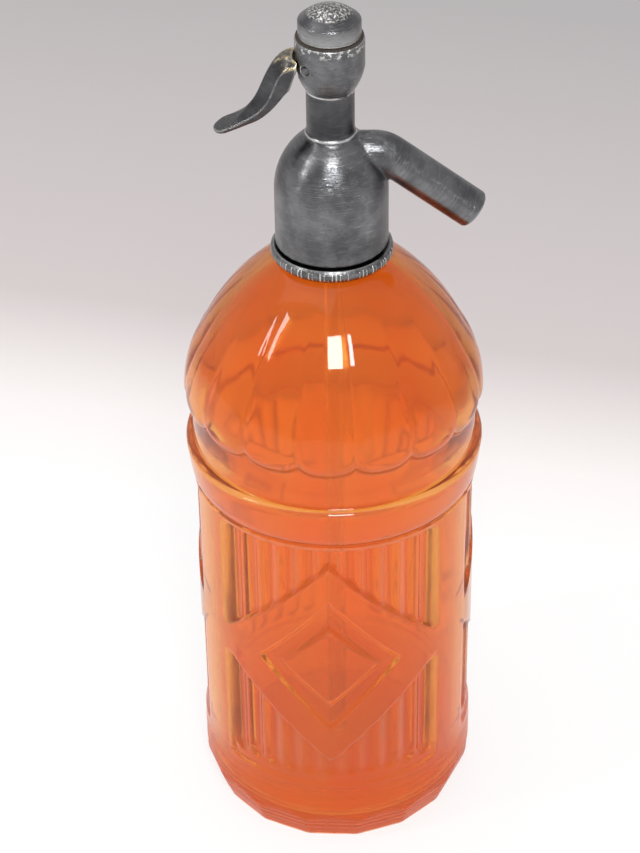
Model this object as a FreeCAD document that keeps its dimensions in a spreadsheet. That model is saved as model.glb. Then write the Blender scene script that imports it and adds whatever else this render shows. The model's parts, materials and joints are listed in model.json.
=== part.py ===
import FreeCAD, Part
import math
import os
import re
import Sketcher

from FreeCAD import Placement, Rotation, Vector

# Soda siphon: pressed glass bottle, metal head with a thumb lever and a down-turned spout.
# Millimetres. The origin is the middle of the foot, +Z is up, +X is the spout's side.

sizes = {
    # glass bottle, from the foot to the shoulder ledge
    "body_radius": 49.7,
    "glass_wall": 5.0,
    "base_thickness": 8.0,
    "pushup_radius": 37.0,
    "pushup_rise": 4.0,
    "inner_corner": 8.0,
    "foot_sides": 16,
    "foot_inset": 4.6,
    "foot_height": 13.0,
    "ledge_rise": 15.5,
    "ledge_overhang": 2.2,
    "ledge_round": 1.2,
    # waist and lobed dome
    "waist_rise": 13.0,
    "waist_inset": 0.4,
    "dome_swell": 6.5,
    "dome_overhang": 2.1,
    "dome_rise": 50.6,
    "dome_top_margin": 0.7,
    "hip_out": 0.942,
    "hip_up": 0.206,
    "haunch_out": 0.805,
    "haunch_up": 0.393,
    "flank_out": 0.54,
    "flank_up": 0.668,
    "lobe_count": 16,
    "crease_radius": 7.0,
    "crease_depth": 0.8,
    # degrees by which the dome's surface leans, and those at which the creases stand off it
    "hip_lean": 15.0,
    "haunch_lean": 32.0,
    "flank_lean": 46.0,
    "top_lean": 55.0,
    "crease_haunch_lean": 33.0,
    "crease_flank_lean": 41.0,
    "crease_top_lean": 46.0,
    # neck of the bottle
    "neck_bore": 9.0,
    "neck_wall": 3.5,
    "neck_sweep": 5.4,
    "neck_length": 7.0,
    "lip_overhang": 1.5,
    "lip_round": 1.0,
    "lip_depth": 7.0,
    # relief panels
    "panel_count": 3,
    "panel_turn": -3.0,
    "panel_angle": 95.0,
    "panel_low": 30.0,
    "panel_length": 108.5,
    "panel_to_band": 2.5,
    "field_depth": 0.85,
    "flute_count": 11,
    "flute_pitch": 8.5,
    "flute_radius": 4.2,
    "flute_depth": 0.75,
    "flute_margin": 2.5,
    "diamond_rise": 56.0,
    "frame_half_height": 45.5,
    "frame_half_width": 43.0,
    "channel_half_height": 29.0,
    "channel_half_width": 24.8,
    "plate_half_height": 19.0,
    "plate_half_width": 19.0,
    "channel_depth": 1.1,
    # dip tube, its collar, and the gasket
    "tube_radius": 3.25,
    "tube_bore": 2.1,
    "tube_foot_gap": 4.0,
    "tube_grip": 0.05,
    "gasket_thickness": 2.5,
    "tube_collar_width": 3.75,
    "tube_collar_height": 2.0,
    # split ring and collar ring
    "split_ring_height": 6.0,
    "split_ring_cover": 1.6,
    "split_ring_slit": 0.8,
    "ledge_plate": 3.0,
    "sleeve_wall": 1.6,
    "sleeve_below_lip": 2.0,
    "bead_overhang": 1.8,
    "bead_round": 1.6,
    "bead_gap": 0.9,
    "bead_depth": 4.5,
    # head casting: bell, column and barrel
    "bell_wall": 1.5,
    "bell_edge": 0.9,
    "bell_straight_rise": 3.0,
    "shoulder_drawn_in": 2.8,
    "shoulder_bulge_rise": 12.5,
    "shoulder_rise": 20.8,
    "column_foot_stand": 1.3,
    "column_ring_stand": 0.6,
    "column_ring_height": 1.8,
    "column_wall": 2.7,
    "column_length": 17.3,
    "flare_rise": 8.4,
    "barrel_wall": 2.7,
    "barrel_length": 10.0,
    "barrel_floor_drop": 1.5,
    "water_bore": 2.8,
    "water_way": 3.7,
    "valve_bore": 5.2,
    # spout
    "spout_radius": 6.7,
    "spout_lift": 12.1,
    "spout_bend_reach": 17.0,
    "spout_bend_radius": 9.0,
    "spout_drop_angle": 37.5,
    "spout_run": 38.0,
    "spout_passage": 2.6,
    "spout_bore": 4.0,
    "spout_bore_depth": 26.0,
    "spout_lip_round": 1.1,
    # valve
    "seat_washer_thickness": 0.8,
    "seat_hole": 2.3,
    "seat_height": 2.8,
    "seat_lip_radius": 3.5,
    "seat_lip_height": 1.2,
    "valve_washer_radius": 4.3,
    "valve_washer_thickness": 2.2,
    "screw_radius": 0.9,
    "screw_head_radius": 1.7,
    "screw_head_height": 1.3,
    "screw_reach": 2.6,
    "holder_flange_radius": 4.4,
    "holder_flange_height": 1.6,
    "holder_sleeve_radius": 3.3,
    "holder_socket": 3.0,
    "cup_lift": 7.1,
    "cup_height": 3.4,
    "cup_hollow": 1.6,
    "cup_skirt": 1.0,
    # plunger
    "stem_radius": 2.2,
    "shank_radius": 3.0,
    "shoulder_radius": 4.6,
    "shoulder_height": 2.0,
    "lift_collar_radius": 5.9,
    "stop_collar_radius": 4.8,
    "lift_collar_height": 1.5,
    "groove_below_pivot": 0.6,
    "groove_width": 4.0,
    "pilot_radius": 2.0,
    "pilot_height": 4.2,
    # spring, cap and their washers
    "spring_seat_inset": 0.3,
    "spring_seat_height": 0.6,
    "spring_radius": 4.0,
    "spring_wire": 1.1,
    "spring_turns": 3.5,
    "cap_bore_room": 0.6,
    "cap_spigot_wall": 2.0,
    "cap_spigot_length": 3.0,
    "cap_room": 4.4,
    "cap_set_in": 1.1,
    "cap_side": 5.5,
    "cap_crown": 4.6,
    "cap_rim_round": 2.0,
    "cap_washer_thickness": 0.5,
    "cap_washer_set_in": 0.4,
    # lever pivot, nose and boss
    "pivot_set_in": 0.7,
    "pivot_rise": 1.6,
    "pin_radius": 1.2,
    "slot_width": 6.8,
    "slot_below_pivot": 4.8,
    "slot_above_pivot": 4.0,
    "press_angle": 16.0,
    "boss_radius": 2.7,
    "nose_overlap": 0.5,
    "nose_height": 2.3,
    "nose_width": 4.4,
    "nose_gap": 0.15,
    "lever_neck_drop": 2.6,
    "lever_neck_outside": 2.3,
    # clearances
    "slip_gap": 0.1,
    "running_gap": 0.05,
    "moving_gap": 0.3,
}

# Stations of the lever's horn: how far its spine lies out from the pivot and above it, how far its
# section leans, and the section's half width, half width of the worn ridge, drop from ridge to side
# edge, and thickness.
horn_stations = {
    "root": (2.5, 1.8, 0.0, 6.0, 5.2, 1.6, 7.9),
    "apex": (10.5, -0.9, 32.0, 5.9, 0.9, 3.4, 9.4),
    "ridge": (13.8, -7.3, 62.0, 5.5, 0.5, 3.5, 7.6),
    "waist": (17.9, -15.2, 52.0, 5.1, 0.6, 2.5, 5.2),
    "heel": (21.0, -18.6, 42.0, 4.8, 1.4, 1.3, 3.4),
    "pad": (24.5, -21.4, 26.0, 4.8, 3.9, 0.45, 2.0),
    "tip": (30.1, -23.8, 22.0, 3.6, 2.9, 0.35, 1.3),
}
station_fields = ("out", "up", "lean", "half_width", "ridge", "drop", "thickness")

for station, numbers in horn_stations.items():
    for field, number in zip(station_fields, numbers):
        sizes[f"horn_{station}_{field}"] = number

# Heights and radii that follow from the sizes, from the foot up and from the neck out.
levels = {
    "panel_high": "panel_low + panel_length",
    "diamond_height": "panel_low + diamond_rise",
    "band_height": "panel_high + panel_to_band",
    "ledge_height": "band_height + ledge_rise",
    "waist_height": "ledge_height + waist_rise",
    "dome_height": "waist_height + dome_swell",
    "dome_top_height": "dome_height + dome_rise",
    "neck_root_height": "dome_top_height + neck_sweep",
    "lip_underside": "neck_root_height + neck_length",
    "lip_top": "lip_underside + lip_depth",
    "gasket_top": "lip_top + gasket_thickness",
    "tube_collar_top": "gasket_top + tube_collar_height",
    "split_ring_low": "lip_underside - split_ring_height",
    "bead_low": "dome_top_height + bead_gap",
    "bead_high": "bead_low + bead_depth",
    "collar_sleeve_top": "lip_top - sleeve_below_lip",
    "bell_low": "bead_high + moving_gap",
    "bell_straight_top": "gasket_top + bell_straight_rise",
    "shoulder_bulge_height": "bell_straight_top + shoulder_bulge_rise",
    "column_foot": "bell_straight_top + shoulder_rise",
    "flare_low": "column_foot + column_length",
    "flare_high": "flare_low + flare_rise",
    "barrel_floor": "flare_high - barrel_floor_drop",
    "barrel_top": "flare_high + barrel_length",
    "valve_floor": "tube_collar_top + water_way",
    "seat_low": "valve_floor + seat_washer_thickness",
    "seat_top": "seat_low + seat_height + seat_lip_height",
    "washer_low": "seat_top + running_gap",
    "holder_low": "washer_low + valve_washer_thickness",
    "spout_height": "valve_floor + spout_lift",
    "cup_low": "spout_height + cup_lift",
    "cup_top": "cup_low + cup_height",
    "pivot_height": "flare_high + pivot_rise",
    "slot_low": "pivot_height - slot_below_pivot",
    "slot_high": "pivot_height + slot_above_pivot",
    "lever_neck_low": "pivot_height - lever_neck_drop",
    "groove_low": "pivot_height - groove_below_pivot",
    "groove_high": "groove_low + groove_width",
    "lift_collar_top": "groove_high + lift_collar_height",
    "spring_low": "lift_collar_top + spring_seat_height",
    "cap_seat": "barrel_top + cap_washer_thickness",
    "cap_spigot_low": "barrel_top - cap_spigot_length",
    "cap_ceiling": "cap_seat + cap_room",
    "cap_side_top": "cap_seat + cap_side",
    "cap_top": "cap_side_top + cap_crown",
    "ledge_radius": "body_radius + ledge_overhang",
    "waist_radius": "body_radius - waist_inset",
    "dome_radius": "body_radius + dome_overhang",
    "inner_radius": "body_radius - glass_wall",
    "neck_radius": "neck_bore + neck_wall",
    "lip_radius": "neck_radius + lip_overhang",
    "split_ring_radius": "lip_radius + split_ring_cover",
    "collar_sleeve_radius": "split_ring_radius + slip_gap + sleeve_wall",
    "bell_radius": "collar_sleeve_radius + slip_gap + bell_wall",
    "bead_radius": "bell_radius + bead_overhang",
    "dome_top_radius": "bell_radius + dome_top_margin",
    "tube_collar_radius": "tube_radius + tube_collar_width",
    "shoulder_bulge_radius": "bell_radius - shoulder_drawn_in",
    "column_radius": "valve_bore + column_wall",
    "column_ring_radius": "column_radius + column_ring_stand",
    "column_foot_radius": "column_radius + column_foot_stand",
    "cap_bore": "lift_collar_radius + cap_bore_room",
    "spring_seat_radius": "lift_collar_radius - spring_seat_inset",
    "barrel_bore": "cap_bore + cap_spigot_wall + slip_gap",
    "barrel_radius": "barrel_bore + barrel_wall",
    "cap_radius": "barrel_radius - cap_set_in",
    "cap_washer_radius": "barrel_radius - cap_washer_set_in",
    "pivot_reach": "barrel_bore - pivot_set_in",
    "nose_reach": "shank_radius + nose_overlap",
    "lever_neck_reach": "barrel_radius + lever_neck_outside",
}

document = FreeCAD.newDocument("soda_siphon")
sheet = document.addObject("Spreadsheet::Sheet", "Sizes")
entries = {**sizes, **{name: f"={formula}" for name, formula in levels.items()}}
for row, (alias, content) in enumerate(entries.items(), start=1):
    sheet.set(f"A{row}", alias)
    sheet.setAlias(f"B{row}", alias)
    sheet.set(f"B{row}", str(content))
document.recompute()


def bound(text):
    """Expression text whose size names point at the sheet."""
    return re.sub(r"[a-z][a-z_]+", lambda word: prefixed(word.group()), str(text))


def prefixed(word):
    return f"Sizes.{word}" if word in entries else word


def measure(text):
    """The expression's present value."""
    found = sheet.evalExpression(bound(text))
    return float(getattr(found, "Value", found))


def bind(thing, **expressions):
    for name, text in expressions.items():
        thing.setExpression(name.replace("__", "."), bound(text))
    return thing


def originFeature(body, role):
    return next(item for item in body.Origin.OriginFeatures if item.Role == role)


def newBody(label):
    body = document.addObject("PartDesign::Body", label)
    body.Label = label
    return body


def newSketch(body, role, name, offset=None):
    sketch = body.newObject("Sketcher::SketchObject", name)
    sketch.AttachmentSupport = (originFeature(body, role), [""])
    sketch.MapMode = "FlatFace"
    if offset is not None:
        sketch.AttachmentOffset = offset
    return sketch


# A point is held by its distances from the sketch's origin, each one an expression.
def holdPoint(sketch, geometry, end, x, y):
    if str(x) == "0":
        sketch.addConstraint(Sketcher.Constraint("PointOnObject", geometry, end, -2))
    else:
        index = sketch.addConstraint(Sketcher.Constraint("DistanceX", -1, 1, geometry, end, measure(x)))
        sketch.setExpression(f"Constraints[{index}]", bound(x))
    if str(y) == "0":
        sketch.addConstraint(Sketcher.Constraint("PointOnObject", geometry, end, -1))
    else:
        index = sketch.addConstraint(Sketcher.Constraint("DistanceY", -1, 1, geometry, end, measure(y)))
        sketch.setExpression(f"Constraints[{index}]", bound(y))


def arcThrough(start, middle, finish):
    """Anticlockwise arc through three points, and whether it runs from start to finish."""
    ax, ay = middle.x - start.x, middle.y - start.y
    bx, by = finish.x - start.x, finish.y - start.y
    cross = 2 * (ax * by - ay * bx)
    a2, b2 = ax * ax + ay * ay, bx * bx + by * by
    centre = Vector(start.x + (by * a2 - ay * b2) / cross, start.y + (ax * b2 - bx * a2) / cross, 0)
    radius = centre.distanceToPoint(start)
    angles = [math.atan2(p.y - centre.y, p.x - centre.x) for p in (start, finish)]
    forward = cross > 0
    first, last = angles if forward else reversed(angles)
    return Part.ArcOfCircle(Part.Circle(centre, Vector(0, 0, 1), radius), first, last), forward


# Each corner is (x, y), or (x, y, via x, via y) where the side that ends there is an arc.
def outline(sketch, corners, closed=True):
    places = [Vector(measure(c[0]), measure(c[1]), 0) for c in corners]
    sides = []
    for index in range(0 if closed else 1, len(corners)):
        corner, start, finish = corners[index], places[index - 1], places[index]
        if len(corner) == 4:
            via = Vector(measure(corner[2]), measure(corner[3]), 0)
            curve, forward = arcThrough(start, via, finish)
            side = sketch.addGeometry(curve, False)
            point = sketch.addGeometry(Part.Point(via), True)
            holdPoint(sketch, point, 1, corner[2], corner[3])
            sketch.addConstraint(Sketcher.Constraint("PointOnObject", point, 1, side))
        else:
            side = sketch.addGeometry(Part.LineSegment(start, finish), False)
            forward = True
        sides.append((side, 1 if forward else 2, 2 if forward else 1))
        holdPoint(sketch, side, sides[-1][2], corner[0], corner[1])
    for index in range(0 if closed else 1, len(sides)):
        before, after = sides[index - 1], sides[index]
        sketch.addConstraint(Sketcher.Constraint("Coincident", before[0], before[2], after[0], after[1]))
    if not closed:
        holdPoint(sketch, sides[0][0], sides[0][1], corners[0][0], corners[0][1])
    return sketch


def circle(sketch, radius, x="0", y="0"):
    place = Vector(measure(x), measure(y), 0)
    ring = sketch.addGeometry(Part.Circle(place, Vector(0, 0, 1), measure(radius)), False)
    index = sketch.addConstraint(Sketcher.Constraint("Radius", ring, measure(radius)))
    sketch.setExpression(f"Constraints[{index}]", bound(radius))
    holdPoint(sketch, ring, 3, x, y)
    return sketch


def turn(body, corners, name, kind="PartDesign::Revolution"):
    sketch = outline(newSketch(body, "XZ_Plane", f"{name}_outline"), corners)
    feature = body.newObject(kind, name)
    feature.Profile = sketch
    feature.ReferenceAxis = (sketch, ["V_Axis"])
    feature.Angle = 360
    body.Tip = feature
    return feature


def turnedPart(label, corners):
    body = newBody(label)
    turn(body, corners, f"{label}_turned")
    document.recompute()
    return body


def washer(label, outer, inner, low, high):
    return turnedPart(label, [(inner, low), (outer, low), (outer, high), (inner, high)])


def pattern(body, feature, count):
    ring = body.newObject("PartDesign::PolarPattern", f"{feature.Name}_ring")
    ring.Originals = [feature]
    ring.Axis = (originFeature(body, "Z_Axis"), [""])
    ring.Angle = 360
    bind(ring, Occurrences=count)
    body.Tip = ring
    document.recompute()
    return ring


def domePoint(out, up):
    r = f"(dome_top_radius + {out} * (dome_radius - dome_top_radius))"
    z = f"(dome_height + {up} * (dome_top_height - dome_height))"
    return r, z


def beside(point, distance, lean):
    """The point that far off the glass's outer surface, which leans by the given degrees."""
    r, z = point
    return f"({r} + {distance} * cos({lean} * 1 deg))", f"({z} + {distance} * sin({lean} * 1 deg))"


def inward(point, lean):
    return beside(point, "(-glass_wall)", lean)


def outward(point, lean):
    """The crease's centre line beside a point of the dome."""
    return beside(point, stand_off, lean)


def crown(reach, rim, crest):
    """Via point of a spherical crown about the axis, half way from its rim to its crest."""
    rise = f"(({crest}) - ({rim}))"
    ball = f"((({reach}) ^ 2 + {rise} ^ 2) / (2 * {rise}))"
    return f"({reach}) / 2", f"({crest}) - {ball} + sqrt({ball} ^ 2 - ({reach}) ^ 2 / 4)"


# How far in from its corner the middle of a quarter round lies, as a share of its radius, and how
# far the crease's cutter stands off the dome.
quarter = "(1 - sqrt(0.5))"
stand_off = "(crease_radius - crease_depth)"


def bottleBlank():
    body = newBody("bottle_blank")
    hip, haunch = domePoint("hip_out", "hip_up"), domePoint("haunch_out", "haunch_up")
    flank, top = domePoint("flank_out", "flank_up"), ("dome_top_radius", "dome_top_height")
    inner_haunch, inner_top = inward(haunch, "haunch_lean"), inward(top, "top_lean")
    bore_foot = "(neck_root_height - glass_wall * 0.7)"
    turn(body, [
        ("0", "pushup_rise"),
        ("pushup_radius", "0", *crown("pushup_radius", "0", "pushup_rise")),
        ("body_radius", "0"),
        ("body_radius", "band_height"),
        ("ledge_radius", "ledge_height - ledge_round",
         "body_radius + ledge_overhang * 0.65", "(band_height + ledge_height - ledge_round) / 2"),
        ("ledge_radius - ledge_round", "ledge_height",
         f"ledge_radius - ledge_round * {quarter}", f"ledge_height - ledge_round * {quarter}"),
        ("waist_radius", "waist_height"),
        ("dome_radius", "dome_height",
         "waist_radius + (dome_overhang + waist_inset) * 0.74", "waist_height + dome_swell * 0.42"),
        (*haunch, *hip),
        (*top, *flank),
        ("neck_radius", "neck_root_height",
         "neck_radius + (dome_top_radius - neck_radius) * 0.3", "dome_top_height + neck_sweep * 0.4"),
        ("neck_radius", "lip_underside"),
        ("lip_radius", "lip_underside"),
        ("lip_radius", "lip_top - lip_round"),
        ("lip_radius - lip_round", "lip_top",
         f"lip_radius - lip_round * {quarter}", f"lip_top - lip_round * {quarter}"),
        ("neck_bore", "lip_top"),
        ("neck_bore", bore_foot),
        (*inner_top, f"neck_bore + ({inner_top[0]} - neck_bore) * 0.35",
         f"{inner_top[1]} + ({bore_foot} - {inner_top[1]}) * 0.45"),
        (*inner_haunch, *inward(flank, "flank_lean")),
        ("dome_radius - glass_wall", "dome_height", *inward(hip, "hip_lean")),
        ("inner_radius", "ledge_height"),
        ("inner_radius", "base_thickness + inner_corner"),
        ("inner_radius - inner_corner", "base_thickness",
         f"inner_radius - inner_corner * {quarter}", f"base_thickness + inner_corner * {quarter}"),
        ("0", "base_thickness + pushup_rise",
         *crown("inner_radius - inner_corner", "base_thickness", "base_thickness + pushup_rise")),
    ], "glass_wall_turned")
    document.recompute()

    facet = newSketch(body, "XZ_Plane", "foot_facet_outline")
    outline(facet, [
        ("body_radius - foot_inset", "0"),
        ("body_radius", "foot_height"),
        ("body_radius + foot_inset", "foot_height"),
        ("body_radius + foot_inset", "-foot_inset"),
        ("body_radius - foot_inset", "-foot_inset"),
    ])
    cut = body.newObject("PartDesign::Pocket", "foot_facet")
    cut.Profile = facet
    cut.Midplane = True
    bind(cut, Length="body_radius")
    pattern(body, cut, "foot_sides")

    half_lobe = Placement(Vector(), Rotation(Vector(0, 1, 0), 180 / measure("lobe_count")))
    path = newSketch(body, "XZ_Plane", "crease_path", half_lobe)
    outline(path, [
        (f"dome_radius + {stand_off}", "waist_height - crease_radius"),
        (f"dome_radius + {stand_off}", "dome_height"),
        (*outward(haunch, "crease_haunch_lean"), *outward(hip, "hip_lean")),
        (*outward(top, "crease_top_lean"), *outward(flank, "crease_flank_lean")),
    ], closed=False)
    path.setExpression("AttachmentOffset.Rotation.Angle", bound("180 / lobe_count"))
    profile = newSketch(body, "XY_Plane", "crease_section")
    bind(profile, AttachmentOffset__Base__z="waist_height - crease_radius")
    circle(profile, "crease_radius", f"(dome_radius + {stand_off}) * cos(180 deg / lobe_count)",
           f"(dome_radius + {stand_off}) * sin(180 deg / lobe_count)")
    crease = body.newObject("PartDesign::SubtractivePipe", "lobe_crease")
    crease.Profile = profile
    crease.Spine = (path, [""])
    pattern(body, crease, "lobe_count")
    return body


def cylinder(name, radius, height, low, angle=None):
    made = document.addObject("Part::Cylinder", name)
    bind(made, Radius=radius, Height=height, Placement__Base__z=low)
    if angle is not None:
        bind(made, Angle=angle)
    return made


def boolean(kind, name, first, second):
    made = document.addObject(kind, name)
    made.Base = first
    made.Tool = second
    return made


def diamondBlock(name, half_width, half_height):
    """A block of diamond outline that reaches from the bottle's axis out past the panel, along +X."""
    sketch = document.addObject("Sketcher::SketchObject", f"{name}_outline")
    across = Rotation(Vector(0, 1, 0), Vector(0, 0, 1), Vector(1, 0, 0), "ZXY")
    sketch.Placement = Placement(Vector(), across)
    outline(sketch, [
        (f"-{half_width}", "diamond_height"),
        ("0", f"diamond_height - {half_height}"),
        (half_width, "diamond_height"),
        ("0", f"diamond_height + {half_height}"),
    ])
    block = document.addObject("Part::Extrusion", name)
    block.Base = sketch
    block.DirMode = "Custom"
    block.Dir = Vector(1, 0, 0)
    block.Solid = True
    bind(block, LengthFwd="body_radius * 1.5")
    return block


def fluteTool(name, place):
    """A round-ended cutter for one upright flute; place counts flutes from the panel's middle."""
    reach = "(body_radius - field_depth - flute_depth + flute_radius)"
    rod = document.addObject("Part::Cylinder", f"{name}_rod")
    end = document.addObject("Part::Sphere", f"{name}_end")
    foot = "(panel_low + flute_margin + flute_radius)"
    bind(rod, Radius="flute_radius", Height=f"panel_high - {foot}")
    bind(end, Radius="flute_radius")
    for item in (rod, end):
        bind(item, Placement__Base__x=f"{reach} * cos({place} * flute_pitch * 1 deg)",
             Placement__Base__y=f"{reach} * sin({place} * flute_pitch * 1 deg)",
             Placement__Base__z=foot)
    return boolean("Part::Fuse", name, rod, end)


def panelTool(index):
    """What the mould takes out of the glass for one panel, centred on +X and then turned."""
    name = f"panel_{index}"
    place = ("panel_length", "panel_low")
    outer = cylinder(f"{name}_outside", "body_radius * 1.1", *place, "panel_angle")
    field_core = cylinder(f"{name}_field_core", "body_radius - field_depth", *place)
    channel_core = cylinder(f"{name}_channel_core", "body_radius - channel_depth", *place)
    bind(outer, Placement__Rotation__Angle="-panel_angle / 2")
    field = boolean("Part::Cut", f"{name}_field", outer, field_core)

    flutes = document.addObject("Part::MultiFuse", f"{name}_flutes")
    middle = (int(measure("flute_count")) - 1) / 2
    flutes.Shapes = [field] + [fluteTool(f"{name}_flute_{number}", number - middle)
                               for number in range(int(measure("flute_count")))]
    frame = diamondBlock(f"{name}_frame", "frame_half_width", "frame_half_height")
    grooved = boolean("Part::Cut", f"{name}_grooved", flutes, frame)

    channel_block = diamondBlock(f"{name}_channel_block", "channel_half_width", "channel_half_height")
    plate_block = diamondBlock(f"{name}_plate_block", "plate_half_width", "plate_half_height")
    channel_ring = boolean("Part::Cut", f"{name}_channel_ring", channel_block, plate_block)
    channel = boolean("Part::Cut", f"{name}_channel", channel_ring, channel_core)

    tool = document.addObject("Part::Compound", f"{name}_relief")
    tool.Links = [grooved, channel]
    tool.Placement = Placement(Vector(), Rotation(Vector(0, 0, 1), 1))
    bind(tool, Placement__Rotation__Angle=f"{index} * 360 / panel_count - 90")
    document.recompute()
    return tool


def glassBottle():
    bottle = document.addObject("Part::Cut", "glass_bottle")
    bottle.Label = "glass_bottle"
    bottle.Base = bottleBlank()
    reliefs = document.addObject("Part::Compound", "panel_reliefs")
    reliefs.Links = [panelTool(index) for index in range(int(measure("panel_count")))]
    bottle.Tool = reliefs
    bottle.Placement = Placement(Vector(), Rotation(Vector(0, 0, 1), 1))
    bind(bottle, Placement__Rotation__Angle="panel_turn")
    document.recompute()
    return bottle


def collarRing():
    lip_gap, seat = "lip_radius + moving_gap", "split_ring_radius + slip_gap"
    return turnedPart("collar_ring", [
        (lip_gap, "split_ring_low - ledge_plate"),
        ("bead_radius - bead_round", "bead_low"),
        ("bead_radius - bead_round", "bead_high", "bead_radius", "(bead_low + bead_high) / 2"),
        ("collar_sleeve_radius", "bead_high"),
        ("collar_sleeve_radius", "collar_sleeve_top"),
        (seat, "collar_sleeve_top"),
        (seat, "split_ring_low"),
        (lip_gap, "split_ring_low"),
    ])


def splitRing():
    """Two half rings, parted by a saw cut across the whole ring."""
    ring = washer("split_ring_blank", "split_ring_radius", "neck_radius + slip_gap",
                  "split_ring_low", "lip_underside")
    slit = document.addObject("Part::Box", "split_ring_saw_cut")
    bind(slit, Length="split_ring_slit", Width="4 * split_ring_radius", Height="2 * split_ring_height",
         Placement__Base__x="-split_ring_slit / 2", Placement__Base__y="-2 * split_ring_radius",
         Placement__Base__z="split_ring_low - split_ring_height / 2")
    halves = boolean("Part::Cut", "split_ring", ring, slit)
    halves.Label = "split_ring"
    return halves


def tubeCollar():
    bore = "tube_radius + tube_grip"
    return turnedPart("tube_collar", [
        (bore, "gasket_top"),
        ("tube_collar_radius", "gasket_top"),
        ("tube_collar_radius", "tube_collar_top - slip_gap * 5"),
        ("tube_collar_radius - slip_gap * 5", "tube_collar_top"),
        (bore, "tube_collar_top"),
    ])


def spoutPath(sketch):
    """The spout's centre line: out of the column, round the bend and down to the mouth."""
    tangent = "spout_bend_radius * tan(spout_drop_angle * 0.5 deg)"
    return outline(sketch, [
        ("0", "spout_height"),
        (f"spout_bend_reach - {tangent}", "spout_height"),
        (f"spout_bend_reach + {tangent} * cos(spout_drop_angle * 1 deg)",
         f"spout_height - {tangent} * sin(spout_drop_angle * 1 deg)",
         f"spout_bend_reach - {tangent} + spout_bend_radius * sin(spout_drop_angle * 0.5 deg)",
         "spout_height - spout_bend_radius * (1 - cos(spout_drop_angle * 0.5 deg))"),
        ("spout_bend_reach + spout_run * cos(spout_drop_angle * 1 deg)",
         "spout_height - spout_run * sin(spout_drop_angle * 1 deg)"),
    ], closed=False)


def spoutPipe(body, name, radius, kind):
    path = spoutPath(newSketch(body, "XZ_Plane", f"{name}_path"))
    section = circle(newSketch(body, "YZ_Plane", f"{name}_section"), radius, "0", "spout_height")
    pipe = body.newObject(kind, name)
    pipe.Profile = section
    pipe.Spine = (path, [""])
    body.Tip = pipe
    return pipe


def headCasting():
    body = newBody("head_casting")
    turn(body, [
        ("0", "bell_low"),
        ("bell_radius - bell_edge", "bell_low"),
        ("bell_radius", "bell_low + bell_edge"),
        ("bell_radius", "bell_straight_top"),
        ("column_foot_radius", "column_foot", "shoulder_bulge_radius", "shoulder_bulge_height"),
        ("column_ring_radius", "column_foot + column_ring_height / 3"),
        ("column_ring_radius", "column_foot + column_ring_height"),
        ("column_radius", "column_foot + column_ring_height"),
        ("column_radius", "flare_low"),
        ("barrel_radius", "flare_high", "column_radius + (barrel_radius - column_radius) * 0.48",
         "flare_low + (flare_high - flare_low) * 0.34"),
        ("barrel_radius", "barrel_top"),
        ("0", "barrel_top"),
    ], "casting_turned")
    spoutPipe(body, "spout", "spout_radius", "PartDesign::AdditivePipe")
    document.recompute()

    turn(body, [
        ("0", "bead_low"),
        ("collar_sleeve_radius + slip_gap", "bead_low"),
        ("collar_sleeve_radius + slip_gap", "gasket_top"),
        ("tube_collar_radius + slip_gap", "gasket_top"),
        ("tube_collar_radius + slip_gap", "tube_collar_top + slip_gap"),
        ("water_bore", "tube_collar_top + slip_gap"),
        ("water_bore", "valve_floor"),
        ("valve_bore", "valve_floor"),
        ("valve_bore", "barrel_floor"),
        ("barrel_bore", "barrel_floor"),
        ("barrel_bore", "barrel_top + slip_gap"),
        ("0", "barrel_top + slip_gap"),
    ], "casting_bores", "PartDesign::Groove")
    spoutPipe(body, "spout_passage", "spout_passage", "PartDesign::SubtractivePipe")

    mouth = body.newObject("PartDesign::SubtractiveCylinder", "spout_mouth")
    mouth.Placement = Placement(Vector(), Rotation(Vector(0, 1, 0), 1))
    run = "(spout_run - spout_bore_depth)"
    bind(mouth, Radius="spout_bore", Height="spout_bore_depth + spout_bore",
         Placement__Base__x=f"spout_bend_reach + {run} * cos(spout_drop_angle * 1 deg)",
         Placement__Base__z=f"spout_height - {run} * sin(spout_drop_angle * 1 deg)",
         Placement__Rotation__Angle="90 + spout_drop_angle")
    body.Tip = mouth

    slot = newSketch(body, "YZ_Plane", "lever_slot_outline")
    outline(slot, [
        ("-slot_width / 2", "slot_low"),
        ("slot_width / 2", "slot_low"),
        ("slot_width / 2", "slot_high"),
        ("-slot_width / 2", "slot_high"),
    ])
    slot_cut = body.newObject("PartDesign::Pocket", "lever_slot")
    slot_cut.Profile = slot
    bind(slot_cut, Length="barrel_radius * 1.2")
    body.Tip = slot_cut
    drilled = pinHole(body, "casting_pin_hole")
    document.recompute()

    rim = body.newObject("PartDesign::Fillet", "spout_rim")
    middle = Vector(measure("spout_bend_reach + spout_run * cos(spout_drop_angle * 1 deg)"), 0,
                    measure("spout_height - spout_run * sin(spout_drop_angle * 1 deg)"))
    rim.Base = (drilled, edgesAround(drilled.Shape, middle, measure("spout_radius")))
    bind(rim, Radius="spout_lip_round")
    body.Tip = rim
    document.recompute()
    return body


def edgesAround(shape, centre, radius):
    """Names of the round edges of that radius about that centre."""
    found = []
    for number, edge in enumerate(shape.Edges, start=1):
        curve = edge.Curve
        if not isinstance(curve, Part.Circle):
            continue
        if max(abs(curve.Radius - radius), curve.Center.distanceToPoint(centre)) < 1e-3:
            found.append(f"Edge{number}")
    return found


def pinHole(body, name):
    sketch = circle(newSketch(body, "XZ_Plane", f"{name}_outline"), "pin_radius + running_gap",
                    "-pivot_reach", "pivot_height")
    hole = body.newObject("PartDesign::Pocket", name)
    hole.Profile = sketch
    hole.Midplane = True
    bind(hole, Length="barrel_radius * 3")
    body.Tip = hole
    return hole


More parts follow.
